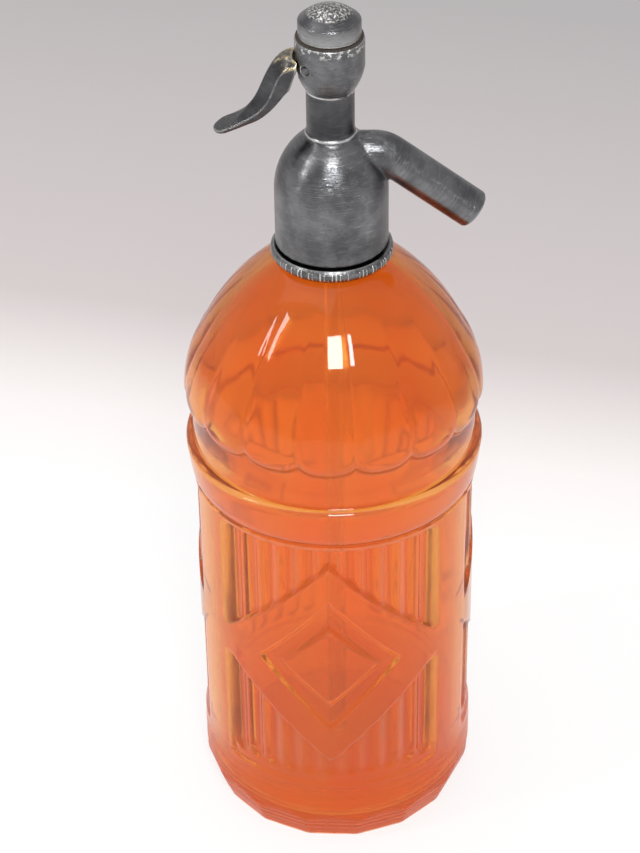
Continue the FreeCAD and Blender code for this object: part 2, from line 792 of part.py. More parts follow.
def topCap():
    return turnedPart("top_cap", [
        ("cap_bore", "cap_spigot_low"),
        ("barrel_bore - slip_gap", "cap_spigot_low"),
        ("barrel_bore - slip_gap", "cap_seat"),
        ("cap_radius", "cap_seat"),
        ("cap_radius", "cap_side_top"),
        ("cap_radius - cap_rim_round", "cap_side_top + cap_rim_round * 0.8",
         "cap_radius - cap_rim_round * 0.24", "cap_side_top + cap_rim_round * 0.52"),
        ("0", "cap_top",
         *crown("cap_radius - cap_rim_round", "cap_side_top + cap_rim_round * 0.8", "cap_top")),
        ("0", "cap_ceiling"),
        ("cap_bore", "cap_ceiling"),
    ])


def valveSeat():
    return turnedPart("valve_seat", [
        ("seat_hole", "seat_low"),
        ("valve_bore - running_gap", "seat_low"),
        ("valve_bore - running_gap", "seat_low + seat_height"),
        ("seat_lip_radius + seat_lip_height / 2", "seat_low + seat_height"),
        ("seat_lip_radius", "seat_top"),
        ("seat_hole + seat_lip_height / 3", "seat_top"),
        ("seat_hole", "seat_top - seat_lip_height / 3"),
    ])


def washerScrew():
    return turnedPart("washer_screw", [
        ("0", "washer_low - screw_head_height"),
        ("screw_head_radius", "washer_low - screw_head_height"),
        ("screw_head_radius", "washer_low"),
        ("screw_radius", "washer_low"),
        ("screw_radius", "holder_low + screw_reach"),
        ("0", "holder_low + screw_reach"),
    ])


def valveHolder():
    hole, socket = "screw_radius + running_gap", "stem_radius + running_gap"
    return turnedPart("valve_holder", [
        (hole, "holder_low"),
        ("holder_flange_radius", "holder_low"),
        ("holder_flange_radius", "holder_low + holder_flange_height"),
        ("holder_sleeve_radius", "holder_low + holder_flange_height"),
        ("holder_sleeve_radius", "cup_low"),
        (socket, "cup_low"),
        (socket, "holder_low + holder_socket"),
        (hole, "holder_low + holder_socket"),
    ])


def pistonCup():
    bore, wall = "stem_radius + running_gap", "valve_bore - running_gap"
    return turnedPart("piston_cup", [
        (bore, "cup_low"),
        (f"{wall} - cup_skirt", "cup_low"),
        (f"{wall} - cup_skirt * 0.5", "cup_low - cup_hollow"),
        (wall, "cup_low - cup_hollow"),
        (wall, "cup_top"),
        (bore, "cup_top"),
    ])


def plunger():
    return turnedPart("plunger", [
        ("0", "holder_low + holder_socket"),
        ("stem_radius", "holder_low + holder_socket"),
        ("stem_radius", "cup_top"),
        ("shoulder_radius", "cup_top"),
        ("shoulder_radius", "cup_top + shoulder_height"),
        ("shank_radius", "cup_top + shoulder_height"),
        ("shank_radius", "groove_low - lift_collar_height"),
        ("stop_collar_radius", "groove_low - lift_collar_height"),
        ("stop_collar_radius", "groove_low"),
        ("shank_radius", "groove_low"),
        ("shank_radius", "groove_high"),
        ("lift_collar_radius", "groove_high"),
        ("lift_collar_radius", "lift_collar_top"),
        ("pilot_radius", "lift_collar_top"),
        ("pilot_radius", "lift_collar_top + pilot_height"),
        ("0", "lift_collar_top + pilot_height"),
    ])


def biarc(start, start_way, finish, finish_way):
    """Two arcs that leave one point and reach the other along the given directions."""
    chord, ways = finish - start, start_way + finish_way
    spread = 2 * (1 - start_way.dot(finish_way))
    along = chord.dot(ways)
    reach = (-along + math.sqrt(along * along + spread * chord.dot(chord))) / spread
    joint = (start + finish + (start_way - finish_way) * reach) * 0.5
    first = arcFrom(start, joint, start_way)
    second = arcFrom(finish, joint, finish_way * -1)
    return [Part.Arc(*first).toShape(), Part.Arc(second[2], second[1], second[0]).toShape()]


def arcFrom(start, finish, way):
    """Three points of the arc that leaves start along way and ends at finish."""
    chord = finish - start
    length = chord.Length
    ahead = way.dot(chord) / length
    side = way - chord * (ahead / length)
    side.normalize()
    bulge = side * (length / 2 * math.tan(math.acos(min(1.0, ahead)) / 2))
    return start, (start + finish) * 0.5 + bulge, finish


def valveSpring():
    """One unbroken coil between the spring seat and the cap's ceiling, in quarter turns."""
    radius, wire, turns = measure("spring_radius"), measure("spring_wire"), measure("spring_turns")
    low = measure("spring_low") + wire / 2
    rise = measure("cap_ceiling") - wire / 2 - low
    quarters = max(1, round(4 * turns))

    def station(share):
        angle = 2 * math.pi * turns * share
        place = Vector(radius * math.cos(angle), radius * math.sin(angle), low + rise * share)
        climb = rise / (2 * math.pi * turns)
        way = Vector(-radius * math.sin(angle), radius * math.cos(angle), climb)
        return place, way.normalize()

    stations = [station(index / quarters) for index in range(quarters + 1)]
    edges = []
    for (start, start_way), (finish, finish_way) in zip(stations, stations[1:]):
        edges += biarc(start, start_way, finish, finish_way)
    path = Part.Wire(edges)
    section = Part.Wire(Part.makeCircle(wire / 2, stations[0][0], stations[0][1]))
    spring = document.addObject("Part::Feature", "valve_spring")
    spring.Label = "valve_spring"
    spring.Shape = path.makePipeShell([section], True, False)
    steps = 400
    places = [station(index / steps)[0] for index in range(steps + 1)]
    half_turn = int(steps / turns / 2)
    least = min(a.distanceToPoint(b) for i, a in enumerate(places) for b in places[i + half_turn:])
    print(f"valve_spring: least gap to itself {least - wire:.2f} mm")
    return spring


# Width of the horn's underside as a share of its width at the side edges.
underside = 0.86


def hornSection(body, station):
    lean = measure(f"horn_{station}_lean")
    offset = Placement(Vector(), Rotation(Vector(-1, 0, 0), lean))
    sketch = newSketch(body, "YZ_Plane", f"horn_{station}", offset)
    bind(sketch, AttachmentOffset__Base__y=f"pivot_height + horn_{station}_up",
         AttachmentOffset__Base__z=f"-pivot_reach - horn_{station}_out")
    if lean:
        bind(sketch, AttachmentOffset__Rotation__Angle=f"horn_{station}_lean")
    half, ridge = f"horn_{station}_half_width", f"horn_{station}_ridge"
    drop, thickness = f"-horn_{station}_drop", f"-horn_{station}_thickness"
    return outline(sketch, [
        (ridge, "0"),
        (f"-{ridge}", "0"),
        (f"-{half}", drop),
        (f"-{half} * {underside}", thickness),
        (f"{half} * {underside}", thickness),
        (half, drop),
    ])


def barrelClearance(body, name, swing):
    """Room for the barrel behind the horn, with the lever swung by the given angle."""
    depth = "(pivot_height - flare_low + barrel_radius)"
    cut = body.newObject("PartDesign::SubtractiveCylinder", name)
    cut.Placement = Placement(Vector(), Rotation(Vector(0, 1, 0), 1))
    swung = f"{swing} * 1 deg"
    bind(cut, Radius="barrel_radius + moving_gap", Height=f"3 * {depth}",
         Placement__Base__x=f"-pivot_reach + pivot_reach * cos({swung}) - {depth} * sin({swung})",
         Placement__Base__z=f"pivot_height - pivot_reach * sin({swung}) - {depth} * cos({swung})",
         Placement__Rotation__Angle=swing)
    body.Tip = cut
    return cut


def pad(body, name, corners, width):
    sketch = outline(newSketch(body, "XZ_Plane", f"{name}_outline"), corners)
    made = body.newObject("PartDesign::Pad", name)
    made.Profile = sketch
    made.Midplane = True
    bind(made, Length=width)
    body.Tip = made
    return made


def lever():
    body = newBody("lever")
    sections = [hornSection(body, station) for station in horn_stations]
    horn = body.newObject("PartDesign::AdditiveLoft", "horn")
    horn.Profile = sections[0]
    horn.Sections = sections[1:]
    body.Tip = horn
    document.recompute()
    barrelClearance(body, "clearance_at_rest", "0")
    barrelClearance(body, "clearance_pressed", "press_angle")
    document.recompute()

    width = "slot_width - 2 * moving_gap"
    pad(body, "lever_neck", [
        ("-pivot_reach", "lever_neck_low"),
        ("-pivot_reach", "pivot_height + boss_radius * 0.9"),
        ("-lever_neck_reach",
         "pivot_height + horn_root_up - (lever_neck_reach - pivot_reach - horn_root_out) * 0.5"),
        ("-lever_neck_reach", "lever_neck_low"),
    ], width)
    boss_sketch = circle(newSketch(body, "XZ_Plane", "lever_boss_outline"), "boss_radius",
                         "-pivot_reach", "pivot_height")
    boss = body.newObject("PartDesign::Pad", "lever_boss")
    boss.Profile = boss_sketch
    boss.Midplane = True
    bind(boss, Length=width)
    body.Tip = boss
    nose_top = "(groove_high - nose_gap)"
    pad(body, "lever_nose", [
        ("-pivot_reach", f"{nose_top} - nose_height"),
        ("-nose_reach", f"{nose_top} - nose_height"),
        ("-nose_reach", nose_top),
        ("-pivot_reach", nose_top),
    ], "nose_width")
    pinHole(body, "lever_pin_hole")
    document.recompute()
    return body


def leverPin():
    pin = document.addObject("Part::Cylinder", "lever_pin")
    pin.Label = "lever_pin"
    pin.Placement = Placement(Vector(), Rotation(Vector(1, 0, 0), 90))
    length = "2 * sqrt(barrel_radius ^ 2 - pivot_reach ^ 2)"
    bind(pin, Radius="pin_radius", Height=length, Placement__Base__x="-pivot_reach",
         Placement__Base__y=f"({length}) / 2", Placement__Base__z="pivot_height")
    return pin


parts = [
    glassBottle(),
    washer("dip_tube", "tube_radius", "tube_bore", "base_thickness + pushup_rise + tube_foot_gap",
           "tube_collar_top - slip_gap"),
    tubeCollar(),
    washer("neck_gasket", "lip_radius", "tube_radius + slip_gap", "lip_top", "gasket_top"),
    splitRing(),
    collarRing(),
    headCasting(),
    washer("seat_washer", "valve_bore - running_gap", "water_bore", "valve_floor", "seat_low"),
    valveSeat(),
    topCap(),
    washer("cap_washer", "cap_washer_radius", "barrel_bore", "barrel_top", "cap_seat"),
    leverPin(),
    valveSpring(),
    plunger(),
    valveHolder(),
    washer("valve_washer", "valve_washer_radius", "screw_radius + running_gap", "washer_low", "holder_low"),
    washerScrew(),
    pistonCup(),
    washer("spring_seat", "spring_seat_radius", "pilot_radius + running_gap",
           "lift_collar_top", "spring_low"),
    lever(),
]
document.recompute()

failed = [item.Label for item in document.Objects if {"Invalid", "Error"} & set(item.State)]
failed += [item.Label for item in parts if item.Shape.isNull() or not item.Shape.isValid()]
if failed:
    raise SystemExit(f"not built: {sorted(set(failed))}")

os.makedirs("parts", exist_ok=True)
for item in parts:
    item.Shape.exportStep(f"parts/{item.Label}.step")
    print(f"{item.Label}: {len(item.Shape.Solids)} solid(s), {item.Shape.Volume:.0f} mm3")
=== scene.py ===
import json
import math

import bmesh
import bpy
import numpy as np
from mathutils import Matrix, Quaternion, Vector

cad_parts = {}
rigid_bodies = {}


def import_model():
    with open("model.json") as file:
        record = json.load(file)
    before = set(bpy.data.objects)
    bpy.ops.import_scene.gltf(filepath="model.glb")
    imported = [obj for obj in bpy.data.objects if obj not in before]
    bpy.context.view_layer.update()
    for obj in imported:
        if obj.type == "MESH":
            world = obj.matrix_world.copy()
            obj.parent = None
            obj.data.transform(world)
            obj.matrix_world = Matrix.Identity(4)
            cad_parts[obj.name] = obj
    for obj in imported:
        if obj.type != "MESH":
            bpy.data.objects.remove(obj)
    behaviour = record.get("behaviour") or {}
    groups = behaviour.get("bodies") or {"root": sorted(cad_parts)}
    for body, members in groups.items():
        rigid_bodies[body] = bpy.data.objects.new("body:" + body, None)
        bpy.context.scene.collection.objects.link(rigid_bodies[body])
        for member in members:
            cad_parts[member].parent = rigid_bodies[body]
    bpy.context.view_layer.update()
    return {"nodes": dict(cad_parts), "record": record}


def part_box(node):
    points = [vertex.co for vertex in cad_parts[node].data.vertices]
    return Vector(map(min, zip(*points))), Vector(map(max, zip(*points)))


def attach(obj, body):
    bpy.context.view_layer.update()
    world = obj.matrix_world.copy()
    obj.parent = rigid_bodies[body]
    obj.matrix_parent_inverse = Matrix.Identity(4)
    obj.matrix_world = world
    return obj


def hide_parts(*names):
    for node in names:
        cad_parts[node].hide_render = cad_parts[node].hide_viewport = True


# Soda siphon: orange pressed glass bottle under a worn grey metal head.
# Settings are in millimetres, scaled to the frame; the mesh is in metres.

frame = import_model()
nodes = frame["nodes"]
bottleHeight = 246.0                       # foot to glass lip, in the settings' millimetres
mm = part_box("glass_bottle")[1].z / bottleHeight
axisRadius = 1e-6                          # a smaller radius counts as on the axis
roundMiddle = 0.293                        # a round's middle stands this much of its radius inside
print("frame loaded, one setting unit is", round(mm, 6), "m")


class Wire:
    # a socket that takes part in Python arithmetic, in a shader or a geometry tree
    def __init__(self, net, socket):
        self.net, self.socket = net, socket

    def __add__(self, other): return self.net.math("ADD", self, other)
    def __radd__(self, other): return self.net.math("ADD", other, self)
    def __sub__(self, other): return self.net.math("SUBTRACT", self, other)
    def __rsub__(self, other): return self.net.math("SUBTRACT", other, self)
    def __mul__(self, other): return self.net.math("MULTIPLY", self, other)
    def __rmul__(self, other): return self.net.math("MULTIPLY", other, self)
    def __truediv__(self, other): return self.net.math("DIVIDE", self, other)
    def __pow__(self, other): return self.net.math("POWER", self, other)
    def __mod__(self, other): return self.net.math("FLOORED_MODULO", self, other)
    def __abs__(self): return self.net.math("ABSOLUTE", self)


class Net:
    # a node tree with one method for any node
    def __init__(self, tree):
        self.tree = tree

    def plug(self, socket, value):
        if isinstance(value, Wire):
            self.tree.links.new(value.socket, socket)
        else:
            socket.default_value = value

    def node(self, kind, settings=(), sockets=(), out=0):
        made = self.tree.nodes.new(kind)
        for name, value in dict(settings).items():
            if name == "stops":
                ramp = made.color_ramp
                while len(ramp.elements) < len(value):
                    ramp.elements.new(0.5)
                for stop, (place, colour) in zip(ramp.elements, value):
                    stop.position, stop.color = place, colour
            else:
                setattr(made, name, value)
        for name, value in dict(sockets).items():
            self.plug(made.inputs[name], value)
        return Wire(self, made.outputs[out])

    def math(self, operation, *items):
        return self.node("ShaderNodeMath", {"operation": operation}, dict(enumerate(items)))

    def step(self, value, low, high):          # 0 below low, 1 above high, smooth between
        return self.node("ShaderNodeMapRange", {"interpolation_type": "SMOOTHSTEP"},
                         {0: value, 1: low, 2: high})

    def blend(self, factor, first, second):    # colours
        return self.node("ShaderNodeMix", {"data_type": "RGBA"}, {0: factor, 6: first, 7: second}, 2)

    def parts(self, vector):
        split = self.node("ShaderNodeSeparateXYZ", {}, {0: vector})
        outputs = split.socket.node.outputs
        return [Wire(self, outputs[index]) for index in range(3)]

    def noise(self, vector, scale, detail=3.0, rough=0.55):
        return self.node("ShaderNodeTexNoise", {}, {"Vector": vector, "Scale": scale, "Detail": detail,
                                                    "Roughness": rough})

    def attribute(self, name):
        return self.node("ShaderNodeAttribute", {"attribute_name": name}, {}, "Fac")


def finish(name):
    # a material with its Principled shader, and the object's coordinates in setting units
    made = bpy.data.materials.new(name)
    made.use_nodes = True
    net = Net(made.node_tree)
    shader = made.node_tree.nodes["Principled BSDF"]
    place = net.node("ShaderNodeTexCoord", {}, {}, "Object")
    scaled = net.node("ShaderNodeVectorMath", {"operation": "SCALE"}, {0: place, "Scale": 1 / mm})
    return made, net, shader, scaled


def stretched(net, vector, along):
    return net.node("ShaderNodeVectorMath", {"operation": "MULTIPLY"}, {0: vector, 1: along})


def bumped(net, shader, height, strength, distance):
    bump = net.node("ShaderNodeBump", {}, {"Height": height, "Strength": strength,
                                           "Distance": distance * mm})
    net.plug(shader.inputs["Normal"], bump)


def layered(made, net, shader, share, upper):
    # another shader takes a share of the Principled one
    mixed = net.node("ShaderNodeMixShader", {}, {0: share, 2: upper})
    made.node_tree.links.new(shader.outputs[0], mixed.socket.node.inputs[1])
    net.plug(made.node_tree.nodes["Material Output"].inputs[0], mixed)


def newPiece(name, mesh, material=None):
    piece = bpy.data.objects.new(name, mesh)
    bpy.context.scene.collection.objects.link(piece)
    if material is not None:
        mesh.materials.clear()
        mesh.materials.append(material)
    return piece


def flatten(piece):
    # the evaluated result becomes the plain mesh
    graph = bpy.context.evaluated_depsgraph_get()
    made = bpy.data.meshes.new_from_object(piece.evaluated_get(graph), depsgraph=graph)
    piece.modifiers.clear()
    piece.data = made
    made.polygons.foreach_set("use_smooth", [True] * len(made.polygons))
    return piece


def arcThrough(start, via, finishPoint, count):
    # points after the start on the circle through all three
    (ax, ay), (bx, by), (cx, cy) = start, via, finishPoint
    turn = 2 * ((bx - ax) * (cy - ay) - (by - ay) * (cx - ax))
    b2, c2 = (bx - ax) ** 2 + (by - ay) ** 2, (cx - ax) ** 2 + (cy - ay) ** 2
    centre = (ax + ((cy - ay) * b2 - (by - ay) * c2) / turn,
              ay + ((bx - ax) * c2 - (cx - ax) * b2) / turn)
    radius = math.dist(centre, start)
    first, last = (math.atan2(p[1] - centre[1], p[0] - centre[0]) for p in (start, finishPoint))
    sweep = (last - first) % math.tau if turn > 0 else -((first - last) % math.tau)
    return [(centre[0] + radius * math.cos(first + sweep * i / count),
             centre[1] + radius * math.sin(first + sweep * i / count)) for i in range(1, count + 1)]


def outlinePoints(corners):
    # corners after the first are (r, z, spacing), or (r, z, spacing, via r, via z) for an arc
    points = [corners[0]]
    for corner in corners[1:]:
        start, end = points[-1], corner[:2]
        count = max(1, math.ceil(math.dist(start, end) / corner[2]))
        if len(corner) == 5:
            points += arcThrough(start, corner[3:], end, count)
        else:
            points += [(start[0] + (end[0] - start[0]) * i / count,
                        start[1] + (end[1] - start[1]) * i / count) for i in range(1, count + 1)]
    return points


def rounded(corners, radius, count=3):
    # the same outline with each inner corner rounded
    points = [corners[0]]
    for before, corner, after in zip(corners, corners[1:], corners[2:]):
        here = Vector(corner)
        back, ahead = Vector(before) - here, Vector(after) - here
        reach = min(radius, back.length * 0.45, ahead.length * 0.45)
        start, end = here + back.normalized() * reach, here + ahead.normalized() * reach
        for index in range(count + 1):
            t = index / count
            points.append(tuple(start * (1 - t) ** 2 + here * 2 * t * (1 - t) + end * t ** 2))
    points.append(corners[-1])
    return points


def turnedMesh(name, points, segments):
    # a closed outline on both sides of a wall, or one that starts and ends on the axis
    closed = points[0][0] > axisRadius
    verts, rows, faces = [], [], []
    for r, z in points:
        if r < axisRadius:
            rows.append([len(verts)] * segments)
            verts.append((0, 0, z * mm))
        else:
            rows.append(list(range(len(verts), len(verts) + segments)))
            verts += [(r * mm * math.cos(math.tau * i / segments),
                       r * mm * math.sin(math.tau * i / segments), z * mm) for i in range(segments)]
    pairs = list(zip(rows, rows[1:])) + ([(rows[-1], rows[0])] if closed else [])
    for low, high in pairs:
        for i in range(segments):
            j = (i + 1) % segments
            loop = list(dict.fromkeys((low[i], low[j], high[j], high[i])))
            faces.append(loop)
    mesh = bpy.data.meshes.new(name)
    mesh.from_pydata(verts, [], faces)
    squareUp(mesh)
    mesh.polygons.foreach_set("use_smooth", [True] * len(mesh.polygons))
    return mesh


def squareUp(mesh):
    # merge doubles and turn every face outwards
    work = bmesh.new()
    work.from_mesh(mesh)
    bmesh.ops.remove_doubles(work, verts=work.verts, dist=1e-7)
    bmesh.ops.recalc_face_normals(work, faces=work.faces)
    work.to_mesh(mesh)
    work.free()


def sharpEdges(mesh, degrees):
    mesh.set_sharp_from_angle(angle=math.radians(degrees))


def geometryTree(name, inputs):
    # an empty tree with Geometry in and out and named float inputs
    tree = bpy.data.node_groups.new(name, "GeometryNodeTree")
    tree.interface.new_socket("Geometry", in_out="INPUT", socket_type="NodeSocketGeometry")
    tree.interface.new_socket("Geometry", in_out="OUTPUT", socket_type="NodeSocketGeometry")
    for label in inputs:
        kind = "NodeSocketMaterial" if label == "Material" else "NodeSocketFloat"
        tree.interface.new_socket(label, in_out="INPUT", socket_type=kind)
    net = Net(tree)
    entry = tree.nodes.new("NodeGroupInput")
    sockets = {socket.name: Wire(net, socket) for socket in entry.outputs if socket.name}
    return tree, net, sockets


def runTree(piece, tree, values):
    # inputs are set by identifier before the first evaluation
    modifier = piece.modifiers.new(tree.name, "NODES")
    modifier.node_group = tree
    for item in tree.interface.items_tree:
        if item.in_out == "INPUT" and item.name in values:
            modifier[item.identifier] = values[item.name]
    return flatten(piece)


def endTree(net, geometry, material):
    realized = net.node("GeometryNodeRealizeInstances", {}, {0: geometry})
    painted = net.node("GeometryNodeSetMaterial", {}, {"Geometry": realized, "Material": material})
    last = net.tree.nodes.new("NodeGroupOutput")
    net.plug(last.inputs[0], painted)


glassLook = {
    "tint": (1.0, 0.45, 0.085, 1),         # clear orange of the pressed wall
    "deepTint": (1.0, 0.28, 0.025, 1),     # streaks, where the colour gathers
    "hollowShadeTint": (0.9, 0.17, 0.02, 1),    # painted shade: the pressed hollows darker
    "ridgeHighlightTint": (1.0, 0.62, 0.36, 1),      # painted highlight: the ridges paler
    "body": (1.0, 0.215, 0.035, 1),        # the colour that stays in the wall itself
    # painted highlight on the ridges, in the wall's own colour
    "ridgeHighlightBody": (1.0, 0.5, 0.28, 1),
    "bodyShare": 0.17, "ridgeShare": 0.3, "hollowShare": 0.3, "footShare": 0.35,
    "frontShare": 0.4,                     # of the body colour, lit from the front
    "solidFoot": (20.0, 34.0),             # the foot's solid glass ends between these heights
    "ior": 1.4, "coat": 0.3, "coatRough": 0.02, "innerRough": 0.12, "cloudRough": 0.03,
    "streakScale": 0.035, "cloudScale": 0.09,
    "rippleScale": 0.12, "rippleStrength": 0.35, "rippleDepth": 0.05,
}


def bottleGlass():
    made, net, shader, place = finish("orangeGlass")
    g = glassLook
    height = net.parts(place)[2]
    skin, edge = net.attribute("skin"), net.attribute("edge")
    ridge, hollow = net.step(edge, 0.06, 0.45), net.step(edge, -0.06, -0.45)
    streaks = net.noise(stretched(net, place, (1, 1, 0.35)), g["streakScale"], 3)
    tint = net.blend(net.step(streaks, 0.4, 0.75) * 0.6, g["tint"], g["deepTint"])
    # painted shade: a darker colour in the hollows
    tint = net.blend(hollow, tint, g["hollowShadeTint"])
    # painted highlight: a paler colour on the ridges
    net.plug(shader.inputs["Base Color"], net.blend(ridge, tint, g["ridgeHighlightTint"]))
    clouds = net.step(net.noise(place, g["cloudScale"], 2), 0.3, 0.9)
    net.plug(shader.inputs["Roughness"], clouds * g["cloudRough"] + (1 - skin) * g["innerRough"])
    shader.inputs["Transmission Weight"].default_value = 1
    shader.inputs["IOR"].default_value = g["ior"]
    shader.inputs["Coat Weight"].default_value = g["coat"]
    shader.inputs["Coat Roughness"].default_value = g["coatRough"]
    relief = net.noise(stretched(net, place, (1, 1, 0.5)), g["rippleScale"], 2)
    bumped(net, shader, relief, g["rippleStrength"], g["rippleDepth"])
    through = net.node("ShaderNodeBsdfTranslucent", {}, {"Color": g["body"]})
    front = net.node("ShaderNodeBsdfDiffuse", {}, {"Color": g["body"]})
    pale = net.node("ShaderNodeBsdfDiffuse", {}, {"Color": g["ridgeHighlightBody"]})
    deep = net.node("ShaderNodeMixShader", {}, {0: g["frontShare"], 1: through, 2: front})
    # painted highlight: the pale diffuse and the ridge share on the ridges
    wall = net.node("ShaderNodeMixShader", {}, {0: ridge, 1: deep, 2: pale})
    foot = 1 - net.step(height, *g["solidFoot"])
    # the hollow share darkens the hollows with the body colour, a painted shade
    share = skin * (g["bodyShare"] + ridge * g["ridgeShare"] + hollow * g["hollowShare"]
                    + foot * g["footShare"])
    layered(made, net, shader, share, wall)
    return made


def tubeGlass():
    made, net, shader, place = finish("tubeGlass")
    seeds = net.noise(stretched(net, place, (1, 1, 0.08)), 0.8, 2)
    net.plug(shader.inputs["Base Color"], net.blend(seeds, (0.98, 0.96, 0.9, 1), (0.9, 0.88, 0.8, 1)))
    net.plug(shader.inputs["Roughness"], seeds * 0.08)
    shader.inputs["Transmission Weight"].default_value = 1
    shader.inputs["IOR"].default_value = 1.47
    bumped(net, shader, seeds, 0.2, 0.1)
    return made


pewter = {
    "clean": (0.2, 0.201, 0.208, 1),
    "dull": (0.095, 0.096, 0.101, 1),
    # pale rubbed metal, and painted highlights where patches put it
    "bright": (0.6, 0.6, 0.59, 1),
    "glint": (0.93, 0.92, 0.88, 1),
    # dark grime, and painted shade where a patch puts it
    "grimeAndShade": (0.02, 0.02, 0.022, 1),
    "warmth": (0.62, 0.52, 0.33, 1),
    "spoutDrop": math.radians(37.5), "spoutRoot": (17.0, 21.0),
    "cloudScale": 0.11, "pitScale": 1.9, "ringScale": 0.9, "fineRingScale": 3.4, "grainScale": 2.6,
    "metallic": 0.95, "rough": 0.13, "reliefStrength": 0.6, "reliefDepth": 0.22,
}


def headMetal(name, darker=0.0, patches=(), stipple=None):
    # cast tin alloy: cloudy, with turning marks, pits and rubbed edges
    # a patch is the name of a colour and a function that says where it lies
    made, net, shader, place = finish(name)
    p = pewter
    x, y, z = net.parts(place)
    along = x * math.cos(p["spoutDrop"]) - z * math.sin(p["spoutDrop"])
    onSpout = net.step(x, *p["spoutRoot"])
    height = z * (1 - onSpout) + along * onSpout
    clouds = net.noise(place, p["cloudScale"], 4, 0.6)
    pits = net.step(net.noise(place, p["pitScale"], 3, 0.6), 0.63, 0.73)
    ringLine = net.node("ShaderNodeCombineXYZ", {}, {0: x * 0.06, 1: y * 0.06, 2: height})
    rings = net.noise(ringLine, p["ringScale"], 5, 0.75)
    fineRings = net.noise(ringLine, p["fineRingScale"], 3, 0.7)
    edge = net.attribute("edge")
    rubbed = net.step(edge, 0.25, 0.8)
    hollow = net.step(edge, -0.15, -0.6)
    colour = net.blend(net.step(clouds, 0.3, 0.72), p["dull"], p["clean"])
    colour = net.blend(net.step(fineRings, 0.55, 0.75) * 0.35, colour, p["bright"])
    colour = net.blend(rubbed * 0.8, colour, p["bright"])
    colour = net.blend(hollow * 0.85, colour, p["grimeAndShade"])
    colour = net.blend(pits * 0.6, colour, p["grimeAndShade"])
    if darker:
        colour = net.blend(darker, colour, p["grimeAndShade"])
    # some patches paint highlights, glints and shade into the colour
    for tone, where in patches:
        colour = net.blend(where(net, x, y, z, place), colour, p[tone])
    net.plug(shader.inputs["Base Color"], colour)
    net.plug(shader.inputs["Metallic"], p["metallic"] - pits * 0.4 - hollow * 0.4)
    net.plug(shader.inputs["Roughness"], p["rough"] + clouds * 0.12 + hollow * 0.2)
    grain = net.noise(place, p["grainScale"], 3, 0.6)
    relief = rings * 0.35 + fineRings * 0.75 + grain * 0.2 - pits * 0.5
    if stipple is not None:
        relief = relief + stipple(net, x, y, z, place)
    bumped(net, shader, relief, p["reliefStrength"], p["reliefDepth"])
    return made


def brass(name):
    made, net, shader, place = finish(name)
    x, y, z = net.parts(place)
    marks = net.noise(net.node("ShaderNodeCombineXYZ", {}, {0: x * 0.05, 1: y * 0.05, 2: z}), 4.0, 3)
    stain = net.noise(place, 0.5, 4)
    net.plug(shader.inputs["Base Color"], net.blend(net.step(stain, 0.4, 0.7), (0.66, 0.46, 0.19, 1),
                                                    (0.32, 0.21, 0.1, 1)))
    shader.inputs["Metallic"].default_value = 1
    net.plug(shader.inputs["Roughness"], 0.25 + stain * 0.25)
    bumped(net, shader, marks, 0.3, 0.06)
    return made


def drawnSteel(name, light):
    made, net, shader, place = finish(name)
    stain = net.noise(place, 1.1, 4)
    net.plug(shader.inputs["Base Color"], net.blend(net.step(stain, 0.45, 0.75), light,
                                                    (0.12, 0.09, 0.07, 1)))
    shader.inputs["Metallic"].default_value = 1
    net.plug(shader.inputs["Roughness"], 0.28 + stain * 0.3)
    bumped(net, shader, net.noise(place, 6.0, 2), 0.25, 0.04)
    return made


def softMatter(name, light, dark, scale, rough, depth):
    made, net, shader, place = finish(name)
    grain = net.noise(place, scale, 5, 0.65)
    net.plug(shader.inputs["Base Color"], net.blend(net.step(grain, 0.3, 0.7), dark, light))
    net.plug(shader.inputs["Roughness"], rough + grain * 0.15)
    bumped(net, shader, grain, 0.5, depth)
    return made


bottle = {
    "body": 49.7, "wall": 5.0, "baseThickness": 8.0, "pushUp": 4.0, "pushUpRadius": 37.0,
    "innerCorner": 8.0,
    "footSides": 16, "footInset": 4.6, "footHeight": 13.0,
    "band": 141.0, "ledge": 156.5, "ledgeOver": 2.2, "ledgeRound": 2.4,
    "waist": 169.5, "waistInset": 0.4, "dome": 176.0, "domeOver": 2.1,
    "domeTop": 226.6, "domeTopRadius": 19.6,
    "lobes": 16, "creaseDepth": 0.6, "scallopRise": 3.0, "bandGroove": 0.45,
    "hip": (0.942, 0.206), "haunch": (0.805, 0.393), "flank": (0.54, 0.668),
    "neck": 12.5, "neckBore": 9.0, "neckRoot": 232.0, "lipUnder": 239.0, "lip": 14.0, "lipRound": 1.0,
    "panels": 3, "turn": -3.0, "panelAngle": 95.2, "panelLow": 30.0, "panelHigh": 138.5,
    "fieldDepth": 0.8, "flutePitch": 8.5, "fluteHalf": 3.3, "fluteDepth": 1.3,
    "fluteFoot": 36.7, "diamond": 86.0, "frameHigh": 45.5, "frameWide": 43.0,
    "channelHigh": 29.0, "channelWide": 24.8, "plateHigh": 19.0, "plateWide": 19.0,
    "channelDepth": 1.4, "plateBevel": 0.16, "edgeSoft": 0.5,
    "panelColumns": 112, "marginColumns": 12, "innerEvery": 4,
    "waviness": 0.12, "footRipple": 0.15, "footRipplePitch": 2.7, "facetSoft": 0.25,
    "rippleFrom": (3.0, 6.0), "rippleTo": (24.0, 28.0),
    "underside": (5.0, 6.0),               # below this the push-up isn't carved
    "calmHeight": 236.0, "calmReach": (8.0, 14.0),     # round this height the neck stays even
}


def domePoint(spot):
    # a point on the dome's side, as shares of its width and height
    b = bottle
    widest = b["body"] + b["domeOver"]
    return (b["domeTopRadius"] + spot[0] * (widest - b["domeTopRadius"]),
            b["dome"] + spot[1] * (b["domeTop"] - b["dome"]))


def inside(point, lean):
    # the point on the inner wall across from one where the outside leans back by so many degrees
    return (point[0] - bottle["wall"] * math.cos(math.radians(lean)),
            point[1] - bottle["wall"] * math.sin(math.radians(lean)))


